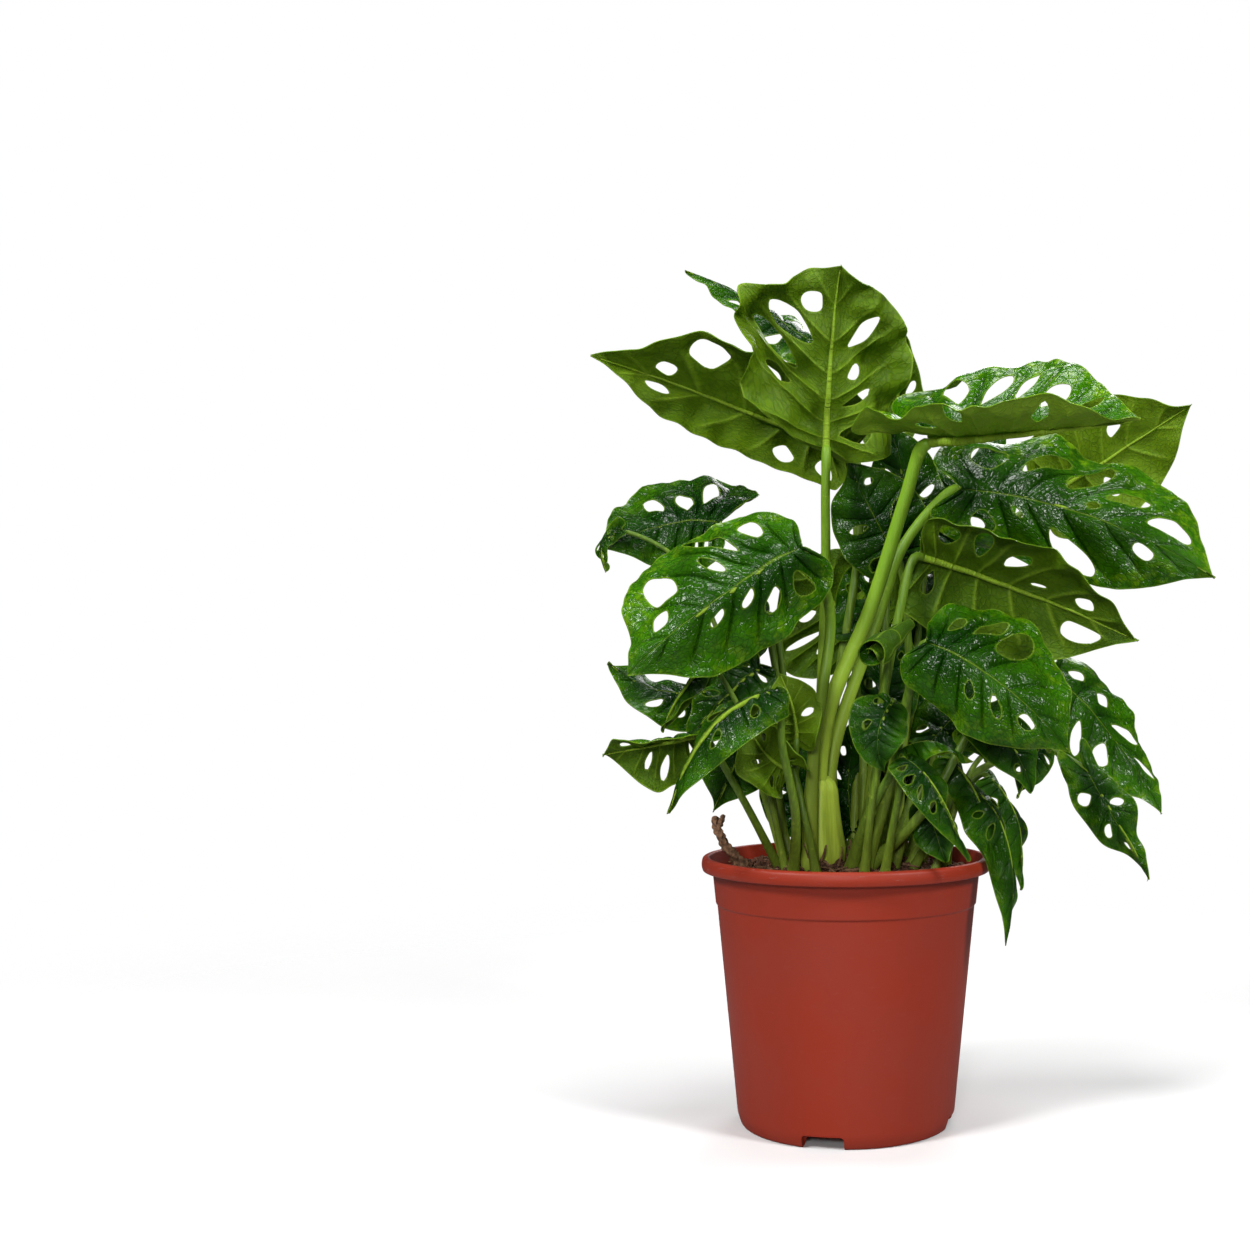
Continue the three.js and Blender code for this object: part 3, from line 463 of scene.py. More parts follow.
def leaf_under():
    tint = colours()
    shader = Shader("leaf_under", specular_ior_level=0.12, **LEAF_GLOW)
    side, midrib, _ = vein_lines(shader, 0.09)
    space = shader.object_coordinates()
    tone = shader.attribute("tone")
    clouds = shader.noise(space, 30.0, 3.0).step(0.3, 0.75)
    # The tone number is partly painted shade: leaves in shadow get more of the dark underside colour.
    base = shader.mix((tone * 1.1 + clouds * 0.35).step(0.0, 1.2), tint.under_dark, tint.under_light)
    network = fine_veins(shader, 0.14)
    base = shader.mix(network * 0.30, base, tint.under_dark)
    base = shader.mix(side * 0.35, base, tint.vein)
    # Painted light: the pale value, set from a leaf's glow number, lightens the underside as if lit through
    # from above.
    base = shader.mix(shader.attribute("pale") * 0.8, base, tint.vein)
    base = shader.mix(midrib * 0.8, base, tint.vein)
    base = shader.mix(rim_line(shader) * 0.5, base, tint.vein)
    fine = shader.noise(space, 500.0, 2.0)
    wrinkles = shader.noise(space, 170.0, 3.0, 0.6)
    height = side * 0.9 + network * 0.4 + fine * 0.2 + wrinkles * 1.2
    return shader.finish(base, 0.44 + fine * 0.14, shader.bump(height, 0.6 * MM, 0.9))


def stalk_green():
    tint = colours()
    shader = Shader(
        "stalk_green", specular_ior_level=0.3,
        subsurface_weight=0.3, subsurface_radius=(1, 1, 0.3), subsurface_scale=2 * MM,
    )
    space = shader.object_coordinates()
    along = shader.attribute("along")
    streaks = shader.noise(shader.stretch(space, (1.0, 1.0, 0.06)), 600.0, 2.0)
    base = shader.mix(along.step(-0.1, 0.8), tint.stalk_base, tint.stalk)
    # Stalks with a low pale value take the side-stalk colour: partly their own greyer green, partly painted
    # shade.
    base = shader.mix((1.0 - shader.attribute("pale")) * 0.85, base, tint.stalk_deep)
    base = shader.mix(streaks.step(0.35, 0.75) * 0.35, base, tint.vein)
    spots = shader.noise(space, 260.0, 2.0).step(0.62, 0.8)
    base = shader.mix(spots * 0.25, base, tint.stalk_base)
    height = streaks * 0.6 + shader.noise(space, 900.0, 1.0) * 0.2
    return shader.finish(base, 0.34 + streaks * 0.2, shader.bump(height, 0.3 * MM, 0.7))


def pot_plastic():
    tint = colours()
    shader = Shader("pot_plastic", specular_ior_level=0.32)
    space = shader.object_coordinates()
    grain = shader.noise(space, 1400.0, 2.0)
    cloud = shader.noise(space, 18.0, 3.0)
    dull = tuple(c * 0.86 + 0.012 for c in tint.pot)
    pale = tuple(c * 0.5 + 0.28 for c in tint.pot)
    base = shader.mix(cloud.step(0.35, 0.7) * 0.5, tint.pot, dull)
    height_up = shader.parts(space)[2]
    rim = height_up.step(POT_HIGH.z - 9 * MM, POT_HIGH.z - 3 * MM)
    # Pale patches on the rim: partly real scuffs, partly a painted highlight where the rim catches the
    # light.
    scuffs_and_highlight = shader.noise(shader.stretch(space, (1.0, 1.0, 5.0)), 110.0, 6.0, 0.75).step(0.58, 0.74)
    base = shader.mix(scuffs_and_highlight * (rim * 0.5 + 0.05), base, pale)
    scratches = shader.noise(shader.stretch(space, (1.0, 1.0, 0.12)), 700.0, 3.0, 0.6).step(0.7, 0.85)
    base = shader.mix(scratches * 0.08, base, pale)
    roughness = 0.40 + cloud * 0.08 + grain * 0.10
    return shader.finish(base, roughness, shader.bump(grain * 0.5 + scratches * -0.3, 0.12 * MM, 0.6))


def peat_soil():
    tint = colours()
    shader = Shader("peat_soil", specular_ior_level=0.25)
    space = shader.object_coordinates()
    lumps = shader.noise(space, 320.0, 4.0, 0.65)
    dark = tuple(c * 0.35 for c in tint.peat)
    base = shader.mix(lumps.step(0.35, 0.65), dark, tint.peat)
    chips = shader.cells(space, 260.0, "F1").step(0.1, 0.45)
    base = shader.mix((1.0 - chips) * 0.35, base, tint.straw)
    return shader.finish(base, 0.88, shader.bump(lumps + chips * 0.5, 1.2 * MM, 1.0))


def dry_fibre():
    tint = colours()
    shader = Shader("dry_fibre", specular_ior_level=0.3)
    space = shader.object_coordinates()
    streaks = shader.noise(space, 380.0, 4.0, 0.6)
    dark = tuple(c * 0.35 for c in tint.straw)
    base = shader.mix(streaks.step(0.35, 0.7), dark, tint.straw)
    return shader.finish(base, 0.8, shader.bump(streaks, 0.8 * MM, 1.0))


MATERIAL_MAKERS = dict(
    leaf_upper=leaf_upper, leaf_under=leaf_under, stalk_green=stalk_green,
    pot_plastic=pot_plastic, peat_soil=peat_soil, dry_fibre=dry_fibre,
)


def finish_of(name):
    """The material of that name, made when it is first asked for."""
    return bpy.data.materials.get(name) or MATERIAL_MAKERS[name]()


# ---------------------------------------------------------------- leaf shape
def unit(vectors):
    return vectors / np.maximum(np.linalg.norm(vectors, axis=-1, keepdims=True), 1e-9)


def smooth_through(points, share):
    """A smooth curve through evenly spaced points, at shares 0 to 1 of its length in points."""
    points = np.asarray(points, float)
    last = len(points) - 1
    place = np.clip(share, 0, 1) * last
    first = np.minimum(place.astype(int), last - 1)
    step = (place - first)[..., None]
    before, start = points[np.maximum(first - 1, 0)], points[first]
    end, after = points[first + 1], points[np.minimum(first + 2, last)]
    leave, arrive = (end - before) / 2, (after - start) / 2
    return (
        (2 * start - 2 * end + leave + arrive) * step**3
        + (-3 * start + 3 * end - 2 * leave - arrive) * step**2
        + leave * step
        + start
    )


class Blade:
    """The bent surface of one leaf, worked out from its row in a leaf table. Lengths are in millimetres."""

    VEIN_BEND = 1.25
    WAVES, RIPPLES = 17, 46
    BENDS = ((46, 2.0), (30, 1.6), (19, 0.9), (12, 0.4))

    def __init__(self, leaf):
        self.leaf = leaf
        self.base, middle, self.tip = (np.array(leaf[key], float) for key in ("base", "mid", "tip"))
        self.control = 2 * middle - (self.base + self.tip) / 2
        self.face = np.array(leaf["face"], float)
        places = self.midrib(np.linspace(0, 1, 60))[0]
        self.length = np.linalg.norm(np.diff(places, axis=0), axis=1).sum()
        self.seed = sum(ord(letter) for letter in leaf["name"])
        self.scale = min(1.0, max(leaf["half"]) / 45)
        self.relief = sizes().leaf_relief / MM * self.scale

    def midrib(self, share):
        """Place and direction of the midrib."""
        share = np.asarray(share, float)[..., None]
        place = (1 - share) ** 2 * self.base + 2 * share * (1 - share) * self.control + share**2 * self.tip
        direction = (1 - share) * (self.control - self.base) + share * (self.tip - self.control)
        return place, unit(direction)

    def surface(self, vein, across, relief=0.0, ripple=0.0):
        """Points of the upper side, which way they face, and how far each lies from the margin."""
        leaf = self.leaf
        second = (across < 0).astype(int)
        out = np.abs(across)
        edge = smooth_through(MARGIN, vein)
        lobe = np.where(edge[..., 0] < 0, leaf.get("lobe", 1.0), 1.0)
        forward = np.maximum(edge[..., 0], 0) ** leaf.get("shoulder", 0.85)
        forward = forward + np.minimum(edge[..., 0], 0) * lobe
        sweep = np.array(leaf.get("sweep", (0, 0)))[second]
        root = vein**2
        edge_along = forward + sweep * edge[..., 1] * (1 - edge[..., 0])
        along = root + (edge_along - root) * out**self.VEIN_BEND
        half = np.array(leaf["half"], float)[second]
        width = edge[..., 1] * out * half
        inside = np.maximum(along, 0)
        place, tangent = self.midrib(inside)
        place = place + tangent * np.minimum(along, 0)[..., None] * self.length
        normal = unit(self.face - tangent * (self.face * tangent).sum(-1, keepdims=True))
        twist = (np.radians(leaf.get("twist", 0)) * inside)[..., None]
        normal = normal * np.cos(twist) + np.cross(tangent, normal) * np.sin(twist)
        sideways = np.cross(tangent, normal) * np.where(second == 1, -1, 1)[..., None]
        fold = np.radians(leaf["fold"])[second]
        curl = np.radians(leaf.get("curl", (0, 0)))[second] + 1e-4
        turn = fold + curl * width / half
        bend = half / curl
        place = place + sideways * (bend * (np.sin(turn) - np.sin(fold)))[..., None]
        place = place - normal * (bend * (np.cos(fold) - np.cos(turn)))[..., None]
        up = normal * np.cos(turn)[..., None] + sideways * np.sin(turn)[..., None]
        wave = leaf.get("wave", 1) * np.sin(vein * self.WAVES + second * 2 + self.base[0]) * out**2
        swell = relief * self.swelling(vein, out)
        between = np.sin(np.pi * vein)
        shiver = ripple * out**4 * np.sin(vein * self.RIPPLES + self.seed + second * 1.7) * between
        crease = (relief > 0) * self.crumple(place) * (0.25 + 0.75 * out**1.5) * between**0.4
        place = place + up * (wave + swell + shiver + crease)[..., None]
        return place, up, (1 - out) * edge[..., 1] * half

    def crumple(self, place):
        """Broad and small uneven bends of the blade: each row of BENDS is a wavelength and a height."""
        picker = random.Random(self.seed)
        total = np.zeros(place.shape[:-1])
        for wavelength, height in self.BENDS:
            for _ in range(2):
                heading = unit(np.array([picker.gauss(0, 1) for _ in range(3)]))
                phase = picker.uniform(0, FULL_TURN)
                total = total + height * np.sin(place @ heading * 2 * np.pi / wavelength + phase)
        return total * self.leaf.get("crumple", 1.0)

    def swelling(self, vein, out):
        """The blade swells between its side veins and dips along them and along the midrib."""
        gap = np.abs(np.sin(np.pi * vein * VEIN_GAPS)) ** 0.75
        fade = np.clip((1 - out) * 4, 0, 1) * np.clip(out * 6, 0, 1) * np.sin(np.pi * vein) ** 0.5
        return (gap - 0.45) * fade - 0.7 * np.exp(-((out / 0.05) ** 2)) * (1 - vein)


def window_distance(window, vein, across):
    """Distance from a window's middle, 1 on its edge: an oval that narrows towards the margin."""
    gap, start, end, share = window
    middle, reach = (start + end) / 2, abs(end - start) / 2
    outward = (across - middle) / reach * math.copysign(1, middle)
    breadth = share / VEIN_GAPS / 2 * (1 + 0.2 * np.clip(outward, -1, 1))
    lean = 0.12 / VEIN_GAPS * np.sin(gap * 2.3 + middle * 9) * outward
    wide = np.abs(vein - (gap + 0.5) / VEIN_GAPS - lean) / breadth
    return (wide**1.6 + np.abs(outward) ** 1.6) ** (1 / 1.6)


# ---------------------------------------------------------------- modelling helpers
def new_object(name, data):
    made = bpy.data.objects.new(name, data)
    bpy.context.collection.objects.link(made)
    return made


def select_only(*pieces):
    bpy.ops.object.select_all(action="DESELECT")
    for piece in pieces:
        piece.select_set(True)
        bpy.context.view_layer.objects.active = piece


def edit(piece, *steps, kind="VERT"):
    """Runs edit-mode steps on the whole piece, or on what is already selected in it."""
    select_only(piece)
    bpy.ops.object.mode_set(mode="EDIT")
    bpy.ops.mesh.select_mode(type=kind)
    for step in steps:
        step()
    bpy.ops.object.mode_set(mode="OBJECT")


def read(items, name, width=1, kind=int):
    """One property of all the items of a mesh, as a flat array."""
    values = np.empty(len(items) * width, kind)
    items.foreach_get(name, values)
    return values


def points_of(piece):
    return read(piece.data.vertices, "co", 3, float).reshape(-1, 3)


def set_points(piece, places):
    piece.data.vertices.foreach_set("co", np.asarray(places, float).ravel())
    piece.data.update()


def set_attribute(piece, name, values):
    layer = piece.data.attributes.get(name) or piece.data.attributes.new(name, "FLOAT", "POINT")
    layer.data.foreach_set("value", np.asarray(values, float).ravel())


def flat_grid(name, columns, rows):
    """A flat grid to be bent: x runs from 0 to 1 along it, and y from -1 to 1 across it."""
    select_only()
    bpy.ops.mesh.primitive_grid_add(x_subdivisions=columns, y_subdivisions=rows, size=2)
    piece = bpy.context.object
    piece.name = piece.data.name = name
    while piece.data.uv_layers:
        piece.data.uv_layers.remove(piece.data.uv_layers[0])
    places = points_of(piece)
    places[:, 0] = (places[:, 0] + 1) / 2
    set_points(piece, places)
    return piece


def set_flat_map(piece, along, across):
    """Keeps each point's place along and across the leaf as a UV map, across going from 0 to 1."""
    corners = read(piece.data.loops, "vertex_index")
    layer = piece.data.uv_layers.new(name="Blade")
    flat = np.stack([along[corners], (across[corners] + 1) / 2], axis=1)
    layer.data.foreach_set("uv", flat.ravel())


def merge_doubles(distance=0.02 * MM):
    bpy.ops.mesh.select_all(action="SELECT")
    bpy.ops.mesh.remove_doubles(threshold=distance)


def apply_modifier(piece, kind, **settings):
    select_only(piece)
    modifier = piece.modifiers.new(kind.title(), kind)
    for name, value in settings.items():
        setattr(modifier, name, value)
    bpy.ops.object.modifier_apply(modifier=modifier.name)


def join(piece, *others):
    select_only(*others, piece)
    bpy.ops.object.join()
    return piece


def finish_piece(piece, slot, *nodes, angle=50, materials=()):
    """Smooths a piece, gives it its materials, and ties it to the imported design."""
    for name in materials:
        piece.data.materials.append(finish_of(name))
    select_only(piece)
    bpy.ops.object.shade_smooth_by_angle(angle=math.radians(angle))
    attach(piece, "root")
    if nodes:
        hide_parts(*nodes)
    return piece


def curve_through(places, share):
    """Points of a centripetal curve through the places, at shares 0 to 1."""
    places = np.asarray(places, float)
    before = 2 * places[0] - places[1]
    after = 2 * places[-1] - places[-2]
    knots = np.vstack([before, places, after])
    gaps = np.linalg.norm(np.diff(knots, axis=0), axis=1) ** 0.5
    times = np.concatenate([[0], np.cumsum(gaps)])
    last = len(places) - 1
    result = []
    for place in np.clip(share, 0, 1) * last:
        first = min(int(place), last - 1)
        t = times[first : first + 4]
        p = knots[first : first + 4]
        now = t[1] + (place - first) * (t[2] - t[1])
        one = [((t[i + 1] - now) * p[i] + (now - t[i]) * p[i + 1]) / (t[i + 1] - t[i]) for i in (0, 1, 2)]
        two = [((t[i + 2] - now) * one[i] + (now - t[i]) * one[i + 1]) / (t[i + 2] - t[i]) for i in (0, 1)]
        result.append(((t[2] - now) * two[0] + (now - t[1]) * two[1]) / (t[2] - t[1]))
    return np.array(result)


def evenly(places, count):
    """The same line with evenly spaced points."""
    lengths = np.concatenate([[0], np.cumsum(np.linalg.norm(np.diff(places, axis=0), axis=1))])
    wanted = np.linspace(0, lengths[-1], count)
    return np.stack([np.interp(wanted, lengths, places[:, axis]) for axis in range(3)], axis=1), lengths[-1]


def ring_frames(centres):
    """Two directions across a line of points, turned no more than the line turns."""
    along = unit(np.gradient(centres, axis=0))
    start = np.array([1.0, 0, 0]) if abs(along[0][0]) < 0.8 else np.array([0, 1.0, 0])
    first = []
    across = start
    for direction in along:
        across = across - direction * across.dot(direction)
        across = across / np.linalg.norm(across)
        first.append(across)
    first = np.array(first)
    return first, np.cross(along, first)


def tube(name, places, radius, sides=16, spacing=2.2, section=None):
    """A round-ended tube through the places. radius and section take shares of its length."""
    dense = curve_through(places, np.linspace(0, 1, 40 * (len(places) - 1)))
    _, length = evenly(dense, 2)
    columns = max(8, round(length / spacing)) + 6
    ends = radius(np.array([0.0, 1.0]))
    cap = np.array([0, 0.13, 0.5])
    near, far = cap * ends[0] / length, 1 - cap[::-1] * ends[1] / length
    shares = np.concatenate([near, np.linspace(ends[0] / length, 1 - ends[1] / length, columns - 5), far])
    fine, _ = evenly(dense, 400)
    grid_shares = np.linspace(0, 1, 400)
    centres = np.stack([np.interp(shares, grid_shares, fine[:, axis]) for axis in range(3)], axis=1)
    rounding = np.ones(len(shares))
    rounding[:3] = rounding[::-1][:3] = (0, 0.5, 0.87)
    first, second = ring_frames(centres)
    piece = flat_grid(name, len(shares) - 1, sides)
    flat = points_of(piece)
    ring = np.rint(flat[:, 0] * (len(shares) - 1)).astype(int)
    angle = -math.pi * flat[:, 1]
    reach = radius(shares)[ring] * rounding[ring]
    if section:
        reach = reach * section(angle, shares[ring])
    offset = first[ring] * np.cos(angle)[:, None] + second[ring] * np.sin(angle)[:, None]
    set_points(piece, (centres[ring] + offset * reach[:, None]) * MM)
    set_attribute(piece, "along", shares[ring])
    edit(piece, merge_doubles)
    return piece


# ---------------------------------------------------------------- leaves
def windows_of(leaf):
    """The windows of a leaf: those in its row, and smaller ones in some of the gaps left."""
    windows = list(leaf["windows"])
    picker = random.Random(leaf["name"])
    taken = {(gap, start > 0) for gap, start, _, _ in windows}
    wide = max(leaf["half"])
    for side in (1, -1):
        for gap in range(2, 7):
            if (gap, side > 0) in taken or picker.random() > leaf.get("holes", 0.5 if wide > 20 else 0.3):
                continue
            start = picker.uniform(0.2, 0.34)
            end = min(start + picker.uniform(0.34, 0.6), 0.88)
            windows.append((gap, side * start, side * end, picker.uniform(0.34, 0.56)))
    return windows


def open_windows(piece, windows):
    """Cuts the windows out of a flat leaf grid and draws the cut edges onto their outlines."""
    flat = points_of(piece)
    corners = read(piece.data.loops, "vertex_index").reshape(-1, 4)
    middles = flat[corners].mean(axis=1)
    doomed = np.zeros(len(corners), bool)
    for window in windows:
        inside = window_distance(window, middles[:, 0], -middles[:, 1]) < 1
        doomed |= inside
        cut = np.intersect1d(corners[inside], corners[~inside])
        gap, start, end, _ = window
        centre = np.array([(gap + 0.5) / VEIN_GAPS, -(start + end) / 2])
        for _ in range(3):
            distance = window_distance(window, flat[cut, 0], -flat[cut, 1])
            flat[cut, :2] = centre + (flat[cut, :2] - centre) / np.maximum(distance, 0.2)[:, None]
    set_points(piece, flat)
    piece.data.polygons.foreach_set("select", doomed)
    piece.data.vertices.foreach_set("select", np.zeros(len(flat), bool))
    piece.data.edges.foreach_set("select", np.zeros(len(piece.data.edges), bool))
    edit(piece, lambda: bpy.ops.mesh.delete(type="FACE"), kind="FACE")


def edge_distance(piece, places):
    """How far each point lies from the nearest cut edge or margin, in the units of places."""
    sides = read(piece.data.loops, "edge_index")
    ends = read(piece.data.edges, "vertices", 2)
    single = np.bincount(sides, minlength=len(piece.data.edges)) == 1
    tree = KDTree(int(single.sum()) * 2)
    for index in ends.reshape(-1, 2)[single].ravel():
        tree.insert(places[index], int(index))
    tree.balance()
    return np.array([tree.find(place)[2] for place in places])


def bend(piece, places, vein, across, tone):
    """Moves a flat leaf to its places, and marks its veins, its margin and its tone, which is partly
    painted shade.
    """
    set_flat_map(piece, vein, across)
    set_points(piece, places * MM)
    set_attribute(piece, "rim", np.exp(-edge_distance(piece, places) / RIM_WIDTH))
    set_attribute(piece, "tone", np.full(len(places), tone))


def thicken(piece):
    """Gives a bent leaf its two materials and its thickness."""
    for material in ("leaf_upper", "leaf_under"):
        piece.data.materials.append(finish_of(material))
    sheet = dict(thickness=sizes().leaf_thickness, offset=-1, material_offset=1, material_offset_rim=0)
    apply_modifier(piece, "SOLIDIFY", **sheet)


def make_blade(leaf, *nodes):
    """One leaf: the bent blade with its windows, and the midrib under it."""
    blade = Blade(leaf)
    long, wide = blade.length, max(leaf["half"])
    columns = 112 if long > 110 else 80 if long > 60 else 56
    rows = 64 if wide > 38 else 48 if wide > 20 else 32
    name = "fine_leaf_" + leaf["name"]
    piece = flat_grid(name, columns, rows)
    open_windows(piece, windows_of(leaf))
    flat = points_of(piece)
    vein, across = flat[:, 0], -flat[:, 1]
    places, _, _ = blade.surface(vein, across, blade.relief, sizes().margin_ripple / MM * blade.scale)
    bend(piece, places, vein, across, leaf["tone"])
    # A leaf's pale value is painted light: a glow shining through its underside.
    set_attribute(piece, "pale", np.full(len(places), leaf.get("bright", 0.0)))
    edit(piece, merge_doubles)
    thicken(piece)
    join(piece, make_midrib(blade, leaf, name))
    return finish_piece(piece, "leaf", *nodes, angle=60)


def make_midrib(blade, leaf, name):
    """The round midrib that stands out under the blade."""
    shares = np.linspace(0, 0.96, 24)
    place, up, _ = blade.surface(shares**0.5, np.zeros(24), blade.relief)
    radii = 0.25 + (leaf["thick"][1] * 0.85 - 0.25) * (1 - shares) ** 1.2
    centres = place - up * (radii + 0.25)[:, None]
    rib = tube(name + "_rib", centres, lambda s: np.interp(s, shares / 0.96, radii), 10, 3.0)
    along = read(rib.data.attributes["along"].data, "value", kind=float)
    set_flat_map(rib, (along * 0.96) ** 0.5, np.zeros(len(along)))
    set_attribute(rib, "tone", np.full(len(along), leaf["tone"]))
    set_attribute(rib, "rim", np.zeros(len(along)))
    rib.data.materials.append(finish_of("leaf_under"))
    return rib


def soil_top(x, y):
    """Height of the soil in millimetres, without its crumbs."""
    spread = np.hypot(x - MOUND_PLACE[0], y - MOUND_PLACE[1]) / MOUND_REACH
    mound = POT_HIGH.z / MM - SOIL_DROP + MOUND_HEIGHT * np.exp(-spread * spread)
    return mound + 0.9 * np.sin(x / 6 + 1) * np.cos(y / 7) + 0.6 * np.sin(x / 3.1 + y / 4.3)


def make_stalk(leaf, *nodes):
    """One stalk, from its sheathed foot in the soil to where it bends into the midrib."""
    blade = Blade(leaf)
    start, end = leaf["thick"]
    x, y = leaf["foot"]
    tangent = blade.midrib(np.zeros(1))[1][0]
    place, up = (value[0] for value in blade.surface(np.zeros(1), np.zeros(1), blade.relief)[:2])
    foot = np.array([x, y, soil_top(x, y) - 3])
    neck = place - up * (end + 1.0) - tangent * 2.5
    last = place + tangent * 3 - up * (end * 0.85 + 0.25)
    length = np.linalg.norm(neck - foot)

    def radius(share):
        body = start + (end - start) * np.sqrt(share)
        sheath, knee = 0.35 * np.exp(-share * length / 9), 0.10 * np.exp(-(((share - 0.965) / 0.02) ** 2))
        return body * (1 + sheath + knee)

    def section(angle, share):
        groove = 0.16 * np.exp(-((np.sin((angle - blade.seed) / 2) / 0.22) ** 2))
        return 1 - groove * np.clip(1.1 - share, 0, 1)

    route = [foot, *leaf["via"], neck, last]
    piece = tube("fine_stalk_" + leaf["name"], route, radius, 16, 2.4, section)
    # A low pale value paints the stalk darker: partly its own greyer green, partly painted shade.
    set_attribute(piece, "pale", np.full(len(piece.data.vertices), leaf.get("pale", 0.1)))
    return finish_piece(piece, "stalk", *nodes, materials=["stalk_green"])



def make_rolled_leaf():
    """A young leaf still rolled into a scroll, wider at its mouth."""
    mouth, end = np.array(ROLLED["mouth"], float), np.array(ROLLED["end"], float)
    axis = unit(end - mouth)
    across = unit(np.cross(axis, (0, 0, 1.0)))
    up = np.cross(across, axis)
    piece = flat_grid("fine_leaf_rolled", 40, 72)
    flat = points_of(piece)
    along, turn = flat[:, 0], (1 - flat[:, 1]) / 2
    angle = turn * ROLLED["turns"] * 2 * math.pi - 0.6
    reach = ROLLED["radius"] * (1 - 0.6 * turn) * (1 - 0.72 * along**1.2)
    reach = reach + 0.9 * np.sin(along * 15 + angle * 2) * (1 - along)
    flare = 0.10 * np.sin(angle * 1.5 + 0.6) * (1 - along)
    far = np.linalg.norm(end - mouth) * np.clip(along + flare, 0, 1.05)
    places = mouth + axis * far[:, None]
    places = places + (across * np.cos(angle)[:, None] + up * np.sin(angle)[:, None]) * reach[:, None]
    bend(piece, places, 0.1 + 0.8 * turn, 2 * along - 1, ROLLED["tone"])
    thicken(piece)
    stalk = tube("fine_rolled_stalk", ROLLED_STALK, lambda s: 3 - 1.2 * s, 14)
    stalk.data.materials.append(finish_of("stalk_green"))
    return finish_piece(join(piece, stalk), "leaf", "leaf_rolled", angle=60)


def make_crown():
    """The pale sheath that the tall stalks share at their feet, and dry scraps of old sheaths round it."""
    middle_x, middle_y = SCRAPS_MIDDLE

    def folds(angle, share):
        return 1 + (0.10 * np.sin(3 * angle + 1) + 0.05 * np.sin(8 * angle)) * (1 - 0.3 * share)

    sheath = tube("crown_sheath", CROWN, lambda share: 15.5 - 6.5 * share**0.6, 40, 1.6, folds)
    places = points_of(sheath) / MM
    set_attribute(sheath, "along", np.clip((places[:, 2] - 150) / 400, 0, 1))
    set_attribute(sheath, "pale", np.ones(len(places)))
    finish_piece(sheath, "stalk", materials=["stalk_green"])
    picker = random.Random(5)
    scraps = []
    for index in range(SCRAPS):
        angle, reach = picker.uniform(0, FULL_TURN), picker.uniform(14, 19)
        x, y = middle_x + reach * math.cos(angle), middle_y + reach * math.sin(angle)
        foot = np.array([x, y, soil_top(x, y) - 1])
        lean = np.array([picker.uniform(-6, 6), picker.uniform(-6, 6), picker.uniform(5, 17)])
        middle = foot + lean * 0.5 + (picker.uniform(-2, 2), picker.uniform(-2, 2), 1)
        thick = picker.uniform(0.5, 1.3)
        route = [foot, middle, foot + lean]
        scraps.append(tube(f"scrap_{index}", route, lambda share: thick * (1 - 0.5 * share), 7, 1.2))
    first = join(*scraps)
    first.name = first.data.name = "crown_scraps"
    finish_piece(first, "soil", materials=["dry_fibre"])


def make_dead_stem():
    """A withered forked stem with a rough, flaking skin."""

    def rough(angle, share):
        return 1 + 0.22 * np.sin(angle * 3 + share * 21) + 0.16 * np.sin(angle * 5 - share * 47)

    stem = tube("fine_dead_stem", DEAD_STEM, lambda s: 3 - 0.9 * s, 18, 0.8, rough)
    fork = tube("dead_fork", DEAD_FORK, lambda s: 2 - 0.8 * s, 14, 0.7, rough)
    join(stem, fork)
    return finish_piece(stem, "dead_stem", "dead_stem", materials=["dry_fibre"])


# ---------------------------------------------------------------- pot and soil
def wall_line(height):
    """Outer radius of the pot's wall, in millimetres."""
    foot = sizes().foot_radius / MM + 1.6
    top = POT_HIGH.z / MM - sizes().rim_band / MM
    return foot + (POT_HIGH.x / MM - sizes().rim_overhang / MM - foot) * height / top


def rounded(corners):
    """A line of (radius, height) points with each corner rounded by its third number."""
    line = []
    for index, (x, z, corner) in enumerate(corners):
        if not corner:
            line.append((x, z))
            continue
        here = np.array([x, z], float)
        back = np.array(corners[index - 1][:2], float) - here
        ahead = np.array(corners[index + 1][:2], float) - here
        start = here + back / np.linalg.norm(back) * corner
        end = here + ahead / np.linalg.norm(ahead) * corner
        for share in np.linspace(0, 1, 6):
            line.append(tuple((1 - share) ** 2 * start + 2 * share * (1 - share) * here + share**2 * end))
    return line


